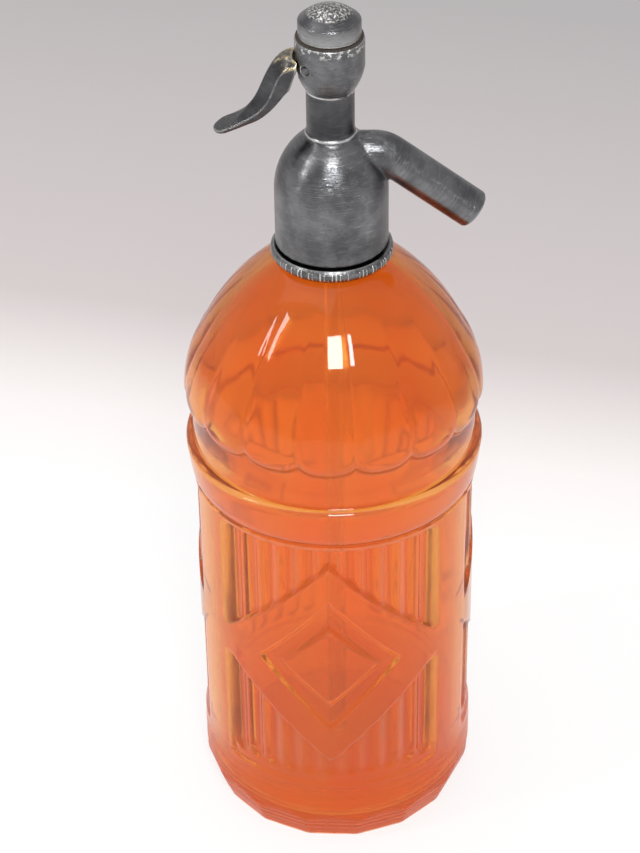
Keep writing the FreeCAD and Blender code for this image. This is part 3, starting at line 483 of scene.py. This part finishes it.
def crownVia(reach, rim, crest):
    # a point half way out on the ball through a rim and a crest
    rise = crest - rim
    ball = (reach ** 2 + rise ** 2) / (2 * rise)
    return reach / 2, crest - ball + math.sqrt(ball ** 2 - reach ** 2 / 4)


def bottleOutlines():
    b = bottle
    body, wide = b["body"], b["body"] + b["domeOver"]
    ledge, waist = body + b["ledgeOver"], body - b["waistInset"]
    hip, haunch, flank = domePoint(b["hip"]), domePoint(b["haunch"]), domePoint(b["flank"])
    top = (b["domeTopRadius"], b["domeTop"])
    inner = body - b["wall"]
    corner = math.cos(math.pi / b["footSides"])
    outer = outlinePoints([
        (0, b["pushUp"]),
        (b["pushUpRadius"], 0, 5, *crownVia(b["pushUpRadius"], 0, b["pushUp"])),
        (body - b["footInset"] - 1.0, 0, 3),
        ((body - b["footInset"]) / corner, 0.35, 0.6),
        (body, b["footHeight"] * (1 - body * (1 - corner) / b["footInset"]), 0.8),
        (body, b["footHeight"], 0.9),
        (body, b["panelLow"] - 1.5, 1.1),
        (body, b["panelHigh"] + 1.5, 1.0),
        (body, b["band"] - 0.3, 0.45),
        (body + 0.35, b["band"] + 0.4, 0.35),
        (ledge, b["ledge"] - b["ledgeRound"], 1.9, body + b["ledgeOver"] * 0.65,
         (b["band"] + b["ledge"] - b["ledgeRound"]) / 2),
        (ledge - b["ledgeRound"], b["ledge"], 0.4, ledge - b["ledgeRound"] * roundMiddle,
         b["ledge"] - b["ledgeRound"] * roundMiddle),
        (waist, b["waist"] - 2, 1.9),
        (waist, b["waist"], 0.6),
        (wide, b["dome"], 0.6, waist + (b["domeOver"] + b["waistInset"]) * 0.74,
         b["waist"] + (b["dome"] - b["waist"]) * 0.42),
        (*haunch, 2.0, *hip),
        (*top, 2.4, *flank),
        (b["neck"], b["neckRoot"], 1.8, b["neck"] + (b["domeTopRadius"] - b["neck"]) * 0.3,
         b["domeTop"] + (b["neckRoot"] - b["domeTop"]) * 0.4),
        (b["neck"], b["lipUnder"], 3),
        (b["lip"], b["lipUnder"], 1),
        (b["lip"], bottleHeight - b["lipRound"], 3),
        (b["lip"] - b["lipRound"], bottleHeight, 0.5, b["lip"] - b["lipRound"] * roundMiddle,
         bottleHeight - b["lipRound"] * roundMiddle),
    ])
    innerTop = inside(top, 55)
    bore = b["neckBore"]
    inner = outlinePoints([
        (bore, bottleHeight),
        (bore, b["neckRoot"] - b["wall"] * 0.7, 3),
        (*innerTop, 1.5, bore + (innerTop[0] - bore) * 0.35,
         innerTop[1] + (b["neckRoot"] - b["domeTop"] + b["wall"] * 0.119) * 0.45),
        (*inside(haunch, 32), 3.2, *inside(flank, 46)),
        (wide - b["wall"], b["dome"], 3.2, *inside(hip, 15)),
        (inner, b["ledge"], 3.2),
        (inner, b["baseThickness"] + b["innerCorner"], 6),
        (inner - b["innerCorner"], b["baseThickness"], 1.5, inner - b["innerCorner"] * roundMiddle,
         b["baseThickness"] + b["innerCorner"] * roundMiddle),
        (0, b["baseThickness"] + b["pushUp"], 5,
         *crownVia(inner - b["innerCorner"], b["baseThickness"], b["baseThickness"] + b["pushUp"])),
    ])
    return outer, inner


def bottleBlank():
    # columns are closer together in the panels, and the inside has every fourth one
    b = bottle
    pitch = 360 / b["panels"]
    angles = []
    for panel in range(b["panels"]):
        centre = -90 + b["turn"] + panel * pitch
        for i in range(b["panelColumns"]):
            angles.append(centre - b["panelAngle"] / 2 + b["panelAngle"] * i / b["panelColumns"])
        margin = pitch - b["panelAngle"]
        for i in range(b["marginColumns"]):
            angles.append(centre + b["panelAngle"] / 2 + margin * i / b["marginColumns"])
    directions = [(math.cos(math.radians(a)), math.sin(math.radians(a))) for a in angles]
    outer, inner = bottleOutlines()
    verts, faces, skin = [], [], []

    def addRows(points, ways, mark):
        rows = []
        for r, z in points:
            first = len(verts)
            if r < axisRadius:
                rows.append([first] * len(ways))
                verts.append((0, 0, z * mm))
            else:
                rows.append(list(range(first, first + len(ways))))
                verts.extend((r * x * mm, r * y * mm, z * mm) for x, y in ways)
            skin.extend([mark] * (len(verts) - first))
        return rows

    def cover(rows, columns):
        for low, high in zip(rows, rows[1:]):
            upperHalf = (verts[low[0]][2] + verts[high[0]][2]) / 2 / mm > b["diamond"]
            for i in range(columns):
                j = (i + 1) % columns
                loop = list(dict.fromkeys((low[i], low[j], high[j], high[i])))
                if len(loop) < 4:
                    faces.append(loop)
                    continue
                side = (angles[i % len(angles)] + 90 - b["turn"] + pitch / 2) % pitch - pitch / 2
                if (side > 0) == upperHalf:    # the diagonal runs along the diamond's sides
                    faces.extend([(low[i], low[j], high[i]), (low[j], high[j], high[i])])
                else:
                    faces.extend([(low[i], low[j], high[j]), (low[i], high[j], high[i])])

    every = b["innerEvery"]
    outerRows = addRows(outer, directions, 1.0)
    cover(outerRows, len(directions))
    innerRows = addRows(inner, directions[::every], 0.0)
    cover(innerRows, len(directions) // every)
    rim, bore = outerRows[-1], innerRows[0]
    for i in range(len(bore)):
        run = [rim[(i * every + k) % len(rim)] for k in range(every + 1)]
        faces.append(run + [bore[(i + 1) % len(bore)], bore[i]])
    mesh = bpy.data.meshes.new("bottleShell")
    mesh.from_pydata(verts, [], faces)
    attribute = mesh.attributes.new("skin", "FLOAT", "POINT")
    attribute.data.foreach_set("value", skin)
    squareUp(mesh)
    return mesh


def carveTree():
    # panels, diamond, foot facets, lobes and unevenness, worked out from the angle and the height
    b = bottle
    names = ("Unit", "Body Radius", "Panel Turn", "Field Depth", "Flute Depth", "Flute Half Width",
             "Channel Depth", "Crease Depth", "Scallop Rise", "Waviness", "Material")
    tree, net, given = geometryTree("carveBottle", names)
    unit = given["Unit"]
    position = net.node("GeometryNodeInputPosition")
    x, y, z = [part / unit for part in net.parts(position)]
    radius = net.math("SQRT", x * x + y * y)
    theta = net.math("ARCTAN2", y, x)
    degree = math.pi / 180
    skin = net.node("GeometryNodeInputNamedAttribute", {"data_type": "FLOAT"}, {"Name": "skin"})

    spread = math.tau / b["panels"]
    local = (theta - given["Panel Turn"] * degree + math.pi / 2 + spread / 2) % spread - spread / 2
    reach = abs(local) * given["Body Radius"]
    soft = b["edgeSoft"]
    half = b["panelAngle"] * degree / 2 * b["body"]
    inPanel = ((1 - net.step(reach, half - soft, half + soft))
               * net.step(z, b["panelLow"] - soft, b["panelLow"] + soft)
               * (1 - net.step(z, b["panelHigh"] - soft, b["panelHigh"] + soft)))
    pitch = b["flutePitch"] * degree
    across = ((local / pitch + 0.5) % 1.0 - 0.5) * (pitch * b["body"])
    pastFoot = net.math("MAXIMUM", b["fluteFoot"] - z, 0.0)
    width = given["Flute Half Width"]
    scoop = net.math("MAXIMUM", 1 - (across * across + pastFoot * pastFoot) / (width * width), 0.0)
    field = inPanel * (given["Field Depth"] + given["Flute Depth"] * scoop)

    side = abs(net.math("SINE", local)) * given["Body Radius"]
    rise = abs(z - b["diamond"])

    def diamond(wide, high, low, top):         # 1 inside the diamond, 0 outside
        measure = side / wide + rise / high
        return 1 - net.step(measure, low, top)

    framed = diamond(b["frameWide"], b["frameHigh"], 0.982, 1.018)
    channel = diamond(b["channelWide"], b["channelHigh"], 0.965, 1.03)
    plate = diamond(b["plateWide"], b["plateHigh"], 1 - b["plateBevel"], 1.03)
    front = 1 - net.step(reach, b["frameWide"] * 1.12, b["frameWide"] * 1.16)
    depth = field * (1 - framed * front) + given["Channel Depth"] * channel * (1 - plate)
    depth = depth + b["bandGroove"] * (1 - net.step(abs(z - b["band"]), 0.2, 0.9))

    sector = math.tau / b["lobes"]
    turned = theta - given["Panel Turn"] * degree
    lobe = abs((turned + sector / 2) % sector - sector / 2) / (sector / 2)
    onDome = (net.step(z, b["waist"] - 4, b["dome"])
              * (1 - net.step(z, b["dome"] + 8, b["dome"] + 44) * 0.75)
              * (1 - net.step(z, b["domeTop"] - 12, b["domeTop"] + 2)))
    depth = depth + given["Crease Depth"] * lobe ** 6.0 * onDome
    lift = (given["Scallop Rise"] * lobe ** 3.0
            * net.step(z, b["waist"] - 3, b["waist"] + 0.5)
            * (1 - net.step(z, b["dome"], b["dome"] + 14)))

    facet = (turned + math.pi / 2 + sector / 2) % sector - sector / 2
    slope = b["footInset"] / b["footHeight"]
    chamfer = (b["body"] - b["footInset"] + z * slope) / net.math("COSINE", facet)
    ripple = (net.math("SINE", z * (math.tau / b["footRipplePitch"])) * b["footRipple"]
              * net.step(z, *b["rippleFrom"]) * (1 - net.step(z, *b["rippleTo"])))
    waves = net.noise(stretched(net, position, (60.0, 60.0, 22.0)), 1.0, 2) - 0.5
    carved = net.node("ShaderNodeMath", {"operation": "SMOOTH_MIN"},
                      {0: radius - depth, 1: chamfer, 2: b["facetSoft"]})
    onFoot = 1 - net.step(z, b["footHeight"] + 1, b["footHeight"] + 3)
    carved = carved * onFoot + (radius - depth) * (1 - onFoot)
    pushedUp = 1 - net.step(radius, b["pushUpRadius"] + 5, b["pushUpRadius"] + 7)
    under = pushedUp * (1 - net.step(z, *b["underside"]))
    carved = carved * (1 - under) + radius * under
    away = net.step(abs(z - b["calmHeight"]), *b["calmReach"])
    uneven = waves * given["Waviness"] * 2.0 - given["Waviness"]
    change = (carved - radius + ripple) * skin + uneven * away * (1 - under)
    ways = net.node("ShaderNodeVectorMath", {"operation": "NORMALIZE"},
                    {0: net.node("ShaderNodeCombineXYZ", {}, {0: x, 1: y})})
    offset = net.node("ShaderNodeVectorMath", {"operation": "SCALE"}, {0: ways, "Scale": change * unit})
    upward = net.node("ShaderNodeCombineXYZ", {}, {2: lift * skin * unit})
    total = net.node("ShaderNodeVectorMath", {"operation": "ADD"}, {0: offset, 1: upward})
    moved = net.node("GeometryNodeSetPosition", {}, {"Geometry": given["Geometry"], "Offset": total})
    endTree(net, moved, given["Material"])
    return tree


def makeBottle():
    b = bottle
    piece = newPiece("bottle_glass_shell", bottleBlank())
    runTree(piece, carveTree(), {
        "Unit": mm, "Body Radius": b["body"], "Panel Turn": b["turn"], "Field Depth": b["fieldDepth"],
        "Flute Depth": b["fluteDepth"], "Flute Half Width": b["fluteHalf"],
        "Channel Depth": b["channelDepth"], "Crease Depth": b["creaseDepth"],
        "Scallop Rise": b["scallopRise"], "Waviness": b["waviness"], "Material": bottleGlass(),
    })
    markEdges(piece.data, 1)
    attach(piece, "siphon")
    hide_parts("glass_bottle")
    print("bottle:", sum(len(face.vertices) - 2 for face in piece.data.polygons), "triangles")


def softCopy(node, name, voxel, smoothing, material):
    # the solid's own shape with its edges rounded as a worn casting's are
    mesh = nodes[node].data.copy()
    mesh.name = name
    squareUp(mesh)
    piece = newPiece(name, mesh, material)
    skin = piece.modifiers.new("skin", "REMESH")
    skin.mode, skin.voxel_size = "VOXEL", voxel * mm
    settle = piece.modifiers.new("settle", "SMOOTH")
    settle.factor, settle.iterations = 0.5, smoothing
    flatten(piece)
    piece.data.materials.clear()
    piece.data.materials.append(material)
    markEdges(piece.data, 3)
    return piece


def markEdges(mesh, rounds):
    # the attribute edge is above 0 on outer edges and below 0 in hollows
    count = len(mesh.vertices)
    place = np.empty(count * 3)
    normal = np.empty(count * 3)
    mesh.vertices.foreach_get("co", place)
    mesh.vertices.foreach_get("normal", normal)
    place, normal = place.reshape(-1, 3), normal.reshape(-1, 3)
    ends = np.empty(len(mesh.edges) * 2, int)
    mesh.edges.foreach_get("vertices", ends)
    a, b = ends.reshape(-1, 2).T
    way = place[b] - place[a]
    length = np.maximum(np.linalg.norm(way, axis=1), 1e-9)
    bend = ((normal[b] - normal[a]) * way).sum(1) / length ** 2 * mm
    value, weight = np.zeros(count), np.zeros(count)
    for end in (a, b):
        np.add.at(value, end, bend)
        np.add.at(weight, end, 1)
    value /= np.maximum(weight, 1)
    for _ in range(rounds):
        total = value.copy()
        np.add.at(total, a, value[b])
        np.add.at(total, b, value[a])
        value = total / (weight + 1)
    attribute = mesh.attributes.new("edge", "FLOAT", "POINT")
    attribute.data.foreach_set("value", value.astype(np.float32))


collar = {
    "radius": 20.7, "low": 227.5, "high": 232.0, "inset": 0.15, "groove": 0.9,
    "bore": 14.3, "boreTop": 233.0, "sleeve": 17.3, "sleeveBore": 15.7, "sleeveTop": 244.0,
    "teeth": 96, "toothLength": 1.5, "toothWidth": 0.5, "toothInset": 0.62,
}


def beadTree():
    # small rounded teeth round the collar's rim
    names = ("Count", "Radius", "Height", "Tooth Length", "Tooth Width", "Material")
    tree, net, given = geometryTree("millRim", names)
    ring = net.node("GeometryNodeMeshCircle", {},
                    {"Vertices": given["Count"], "Radius": given["Radius"]})
    angle = net.math("MULTIPLY", net.node("GeometryNodeInputIndex"), math.tau / collar["teeth"])
    turn = net.node("ShaderNodeCombineXYZ", {}, {2: angle})
    ball = net.node("GeometryNodeMeshUVSphere", {}, {"Segments": 10, "Rings": 8, "Radius": 1.0})
    wear = net.node("FunctionNodeRandomValue", {"data_type": "FLOAT"}, {2: 0.8, 3: 1.15, 8: 7}, 1)
    width = given["Tooth Width"] * wear
    size = net.node("ShaderNodeCombineXYZ", {}, {0: width, 1: given["Tooth Width"],
                                                 2: given["Tooth Length"] * wear})
    teeth = net.node("GeometryNodeInstanceOnPoints", {}, {"Points": ring, "Instance": ball,
                                                          "Rotation": turn, "Scale": size})
    raised = net.node("GeometryNodeTransform", {}, {
        "Geometry": teeth, "Translation": net.node("ShaderNodeCombineXYZ", {}, {2: given["Height"]})})
    both = net.node("GeometryNodeJoinGeometry", {}, {})
    join = both.socket.node
    for item in (raised, given["Geometry"]):
        net.tree.links.new(item.socket, join.inputs[0])
    endTree(net, both, given["Material"])
    return tree


def makeCollar():
    c = collar
    low, high = c["low"], c["high"]
    middle = (low + high) / 2
    outer, groove = c["radius"] - c["inset"], high - c["groove"]
    rim = arcThrough((outer - 1.4, low), (outer, middle), (outer - 1.1, high), 14)
    outline = [(c["bore"], low + 2.5), (outer - 1.4, low)] + rim + [
        (outer - 1.7, high - 0.1), (outer - 2.1, groove), (c["sleeve"], groove),
        (c["sleeve"], c["sleeveTop"]), (c["sleeveBore"], c["sleeveTop"]),
        (c["sleeveBore"], c["boreTop"]), (c["bore"], c["boreTop"])]

    def grooveShade(net, x, y, z, place):         # painted shade in the gap under the bell
        across = net.math("SQRT", x * x + y * y)
        return 1 - net.step(across, outer - 1.9, outer - 1.5)

    def beadTopHighlight(net, x, y, z, place):
        # painted highlight, speckled, on the bead's upper half
        worn = net.step(net.noise(place, 0.9, 3), 0.42, 0.62)
        return net.step(z, middle - 0.6, high - 0.2) * worn * 0.2

    material = headMetal("collarMetal", 0.0, [("bright", beadTopHighlight), ("grimeAndShade", grooveShade)])
    piece = newPiece("collar_rim", turnedMesh("collar_rim", outline, 168))
    sharpEdges(piece.data, 35)
    runTree(piece, beadTree(), {
        "Count": float(c["teeth"]), "Radius": (c["radius"] - c["toothInset"]) * mm,
        "Height": middle * mm, "Tooth Length": c["toothLength"] * mm,
        "Tooth Width": c["toothWidth"] * mm, "Material": material})
    markEdges(piece.data, 2)
    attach(piece, "siphon")
    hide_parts("collar_ring")


cap = {
    "radius": 10.2, "seat": 308.5, "side": 314.0, "top": 318.6,
    "bevelWide": 2.0, "bevelHigh": 1.6, "cornerRound": 0.5,
    "well": 6.5, "ceiling": 312.9, "skirt": 8.5, "skirtFoot": 305.0,
}


def makeCap():
    c = cap
    wide, seat, side, top = c["radius"], c["seat"], c["side"], c["top"]
    shoulder = (wide - c["bevelWide"], side + c["bevelHigh"])
    dome = arcThrough(shoulder, crownVia(shoulder[0], shoulder[1], top), (0, top), 14)
    outline = [(0, c["ceiling"]), (c["well"], c["ceiling"]), (c["well"], c["skirtFoot"]),
               (c["skirt"], c["skirtFoot"]), (c["skirt"], seat)]
    outline += rounded([(c["skirt"], seat), (wide, seat), (wide, side), shoulder], c["cornerRound"])[1:]
    outline += dome[:-1] + [(0, top)]

    def sparkle(net, x, y, z, place):          # painted glints speckled on the disc inside the bevel
        across = net.math("SQRT", x * x + y * y)
        flecks = net.step(net.noise(place, 1.5, 4, 0.7), 0.5, 0.6)
        return (1 - net.step(across, wide - 3.2, wide - 2.6)) * net.step(z, side, side + 1.0) * flecks

    def rimHighlight(net, x, y, z, place):         # painted highlight where the cap meets its washer
        return (1 - net.step(z, seat + 0.5, seat + 0.8)) * 0.8

    metal = headMetal("capMetal", 0.0, [("glint", sparkle), ("glint", rimHighlight)])
    piece = newPiece("cap_dome", turnedMesh("cap_dome", outline, 144), metal)
    sharpEdges(piece.data, 40)
    markEdges(piece.data, 2)
    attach(piece, "siphon")
    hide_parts("top_cap")


casting = {
    "voxel": 0.46, "smoothing": 3,
    "highlightRings": (273.9, 289.6), "columnSide": (8.6, 9.4), "barrelRim": (304.5, 307.0),
    "columnFrom": (274.0, 275.5), "columnTo": (288.0, 291.0),
    "bellDark": (233.0, 252.0), "spoutRoot": (19.0, 21.0),
}


def makeCasting():
    c = casting

    def ringHighlights(net, x, y, z, place):      # painted highlight lines at the column's foot and under the barrel
        lines = 0.0
        for level in c["highlightRings"]:
            lines = lines + (1 - net.step(abs(z - level), 0.25, 0.5))
        worn = net.step(net.noise(place, 0.5, 2), 0.3, 0.45)
        return lines * worn * (1 - net.step(x, *c["columnSide"])) * 0.9

    def barrelGlints(net, x, y, z, place):        # painted glints in patches at the barrel's upper rim
        worn = net.step(net.noise(place, 0.45, 3, 0.7), 0.5, 0.62)
        return net.step(z, *c["barrelRim"]) * worn * 0.8

    def darkColumn(net, x, y, z, place):       # darker on the column and low on the bell
        onColumn = net.step(z, *c["columnFrom"]) * (1 - net.step(z, *c["columnTo"]))
        lowBell = (1 - net.step(z, *c["bellDark"])) * (1 - net.step(x, *c["spoutRoot"]))
        return onColumn * 0.6 + lowBell * 0.25

    metal = headMetal("castMetal", 0.0, [("grimeAndShade", darkColumn), ("bright", ringHighlights),
                                         ("glint", barrelGlints)])
    piece = softCopy("head_casting", "head_body", c["voxel"], c["smoothing"], metal)
    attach(piece, "siphon")
    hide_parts("head_casting")
    print("head body:", sum(len(face.vertices) - 2 for face in piece.data.polygons), "triangles")


def roundTip(mesh, length):
    # the thumb end narrows to a rounded tip, seen from above
    count = len(mesh.vertices)
    place = np.empty(count * 3, np.float32)
    mesh.vertices.foreach_get("co", place)
    points = place.reshape(-1, 3)
    past = np.clip((points[:, 0].min() + length * mm - points[:, 0]) / (length * mm), 0, 1)
    points[:, 1] *= np.sqrt(np.clip(1 - past ** 2, 0.04, 1))
    mesh.vertices.foreach_set("co", points.ravel())
    mesh.update()


lever = {
    "voxel": 0.3, "smoothing": 4, "darker": 0.5, "tipLength": 3.6,
    "wornAbove": (297.5, 300.0), "wornTowards": (-19.0, -16.5),
    "padUpTo": (-31.5, -29.5), "stippleScale": 1.25, "stippleRelief": 4.0,
}


def makeLever():
    v = lever

    def wornTop(net, x, y, z, place):          # the plating is rubbed off along the ridge by the barrel
        ridge = net.step(net.attribute("edge"), 0.0, 0.3)
        worn = net.step(net.noise(place, 0.9, 3), 0.35, 0.55)
        return net.step(z, *v["wornAbove"]) * net.step(x, *v["wornTowards"]) * ridge * worn

    def thumbMarks(net, x, y, z, place):       # stippled thumb pad
        cells = net.node("ShaderNodeTexVoronoi", {}, {"Vector": place, "Scale": v["stippleScale"]})
        onPad = 1 - net.step(x, *v["padUpTo"])
        return (1 - net.step(cells, 0.1, 0.5)) * onPad * v["stippleRelief"]

    metal = headMetal("leverMetal", v["darker"], [("warmth", wornTop)], thumbMarks)
    piece = softCopy("lever", "thumb_lever", v["voxel"], v["smoothing"], metal)
    roundTip(piece.data, v["tipLength"])
    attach(piece, "lever")
    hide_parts("lever")


softLooks = {                                  # light, dark, grain scale, roughness, relief
    "rubber": ((0.05, 0.045, 0.04, 1), (0.02, 0.02, 0.02, 1), 1.5, 0.6, 0.05),
    "leather": ((0.3, 0.17, 0.09, 1), (0.14, 0.08, 0.045, 1), 1.2, 0.5, 0.1),
    "fibre": ((0.06, 0.045, 0.035, 1), (0.02, 0.016, 0.014, 1), 1.2, 0.6, 0.1),
}
steelTones = {"drawn": (0.42, 0.42, 0.43, 1), "pin": (0.16, 0.16, 0.17, 1)}


def dressNodes():
    # the CAD nodes that stay as they are get a look by slot, and two of them a look of their own
    looks = {"brass": brass("turnedBrass"), "steel": drawnSteel("drawnSteel", steelTones["drawn"]),
             "rubber": softMatter("blackRubber", *softLooks["rubber"]),
             "leather": softMatter("greasedLeather", *softLooks["leather"]),
             "tube_glass": tubeGlass()}
    own = {"lever_pin": drawnSteel("pinSteel", steelTones["pin"]),
           "cap_washer": softMatter("darkFibre", *softLooks["fibre"])}
    for entry in frame["record"]["subparts"]:
        node = nodes[entry["node"]]
        look = own.get(entry["node"], looks.get(entry["material_slot"]))
        if look is not None and not node.hide_render:
            node.data.materials.clear()
            node.data.materials.append(look)


stageSet = {
    "aim": 155.0, "distance": 911.0, "drop": 36.32, "roll": -0.67, "focal": 2600.0, "frameHeight": 853,
    "sideways": 14.1, "sensor": 36, "clip": (0.05, 20),
    "floorSize": 4.0, "floorDrop": 0.00005, "floorRough": 0.8, "floorShine": 0.1,
    "near": 0.14, "far": 0.64, "slant": 0.25,
    # painted shade: the floor's colour greys from white near the object to grey far off
    "floorShadeTones": ((0.0, (1.0, 1.0, 1.0, 1)), (0.12, (0.97, 0.93, 0.92, 1)),
                   (0.3, (0.68, 0.62, 0.62, 1)), (1.0, (0.5, 0.48, 0.485, 1))),
    "glowShare": 0.72, "worldTone": (0.9, 0.885, 0.89, 1), "worldLight": 0.72, "worldSeen": 0.68,
}
lamps = (                                      # name, place, height aimed at, width, length, power
    ("overhead", (-0.3, 0.2, 1.6), 0.12, 1.6, 1.6, 4),
    ("window", (0.08, -1.11, 1.2), 0.2, 0.38, 0.4, 12),
    ("sideLight", (-1.14, -0.46, 1.06), 0.2, 0.14, 0.6, 3),
)


def makeCamera():
    s = stageSet
    camera = bpy.data.cameras.new("camera")
    camera.sensor_width = s["sensor"]
    camera.lens = s["sensor"] * s["focal"] / s["frameHeight"]
    camera.shift_x = -s["sideways"] / s["frameHeight"]
    camera.clip_start, camera.clip_end = s["clip"]
    rig = bpy.data.objects.new("camera", camera)
    bpy.context.scene.collection.objects.link(rig)
    drop = math.radians(s["drop"])
    back = Vector((0, -math.cos(drop), math.sin(drop)))
    rig.location = Vector((0, 0, s["aim"] * mm)) + back * (s["distance"] * mm)
    rig.rotation_mode = "QUATERNION"
    aimed = (-back).to_track_quat("-Z", "Y")
    aimed.rotate(Quaternion(back, math.radians(s["roll"])))
    rig.rotation_quaternion = aimed
    bpy.context.scene.camera = rig


def seenDirectly(net):
    # 1 for what the camera, a reflection or the glass looks at
    paths = net.node("ShaderNodeLightPath").socket.node.outputs
    rays = [Wire(net, paths["Is " + kind + " Ray"]) for kind in ("Camera", "Glossy", "Transmission")]
    return net.math("MINIMUM", rays[0] + rays[1] + rays[2], 1.0)


def makeFloor():
    s = stageSet
    mesh = bpy.data.meshes.new("floor")
    size, low = s["floorSize"], -s["floorDrop"]
    corners = [(-size, -size, low), (size, -size, low), (size, size, low), (-size, size, low)]
    mesh.from_pydata(corners, [], [(0, 1, 2, 3)])
    made = bpy.data.materials.new("floorPaper")
    made.use_nodes = True
    net = Net(made.node_tree)
    shader = made.node_tree.nodes["Principled BSDF"]
    place = net.node("ShaderNodeTexCoord", {}, {}, "Object")
    x, y = net.parts(place)[:2]
    away = (y + x * s["slant"] - s["near"]) / (s["far"] - s["near"])
    # painted shade: the floor's colour darkens away from the object
    colour = net.node("ShaderNodeValToRGB", {"stops": s["floorShadeTones"]}, {0: away})
    net.plug(shader.inputs["Base Color"], colour)
    shader.inputs["Roughness"].default_value = s["floorRough"]
    shader.inputs["Specular IOR Level"].default_value = s["floorShine"]
    glow = net.node("ShaderNodeEmission", {}, {"Color": colour, "Strength": 1.0})
    layered(made, net, shader, seenDirectly(net) * s["glowShare"], glow)
    floor = newPiece("floor", mesh, made)


def makeWorld():
    bpy.context.scene.view_settings.view_transform = "Standard"
    world = bpy.data.worlds.new("studio")
    bpy.context.scene.world = world
    world.use_nodes = True
    net = Net(world.node_tree)
    s = stageSet
    lighting, seen = (
        net.node("ShaderNodeBackground", {}, {"Color": s["worldTone"], "Strength": strength})
        for strength in (s["worldLight"], s["worldSeen"]))
    both = net.node("ShaderNodeMixShader", {}, {0: seenDirectly(net), 1: lighting, 2: seen})
    net.plug(world.node_tree.nodes["World Output"].inputs[0], both)


def makeLights():
    for name, place, aimHeight, width, length, power in lamps:
        lamp = bpy.data.lights.new(name, "AREA")
        lamp.shape, lamp.size, lamp.size_y, lamp.energy = "RECTANGLE", width, length, power
        rig = bpy.data.objects.new(name, lamp)
        bpy.context.scene.collection.objects.link(rig)
        rig.location = place
        rig.rotation_mode = "QUATERNION"
        rig.rotation_quaternion = (Vector((0, 0, aimHeight)) - Vector(place)).to_track_quat("-Z", "Y")


makeCamera()
makeFloor()
makeWorld()
makeLights()
print("camera, floor and lights made")
makeBottle()
makeCollar()
makeCap()
makeCasting()
makeLever()
dressNodes()
print("pieces made and dressed")
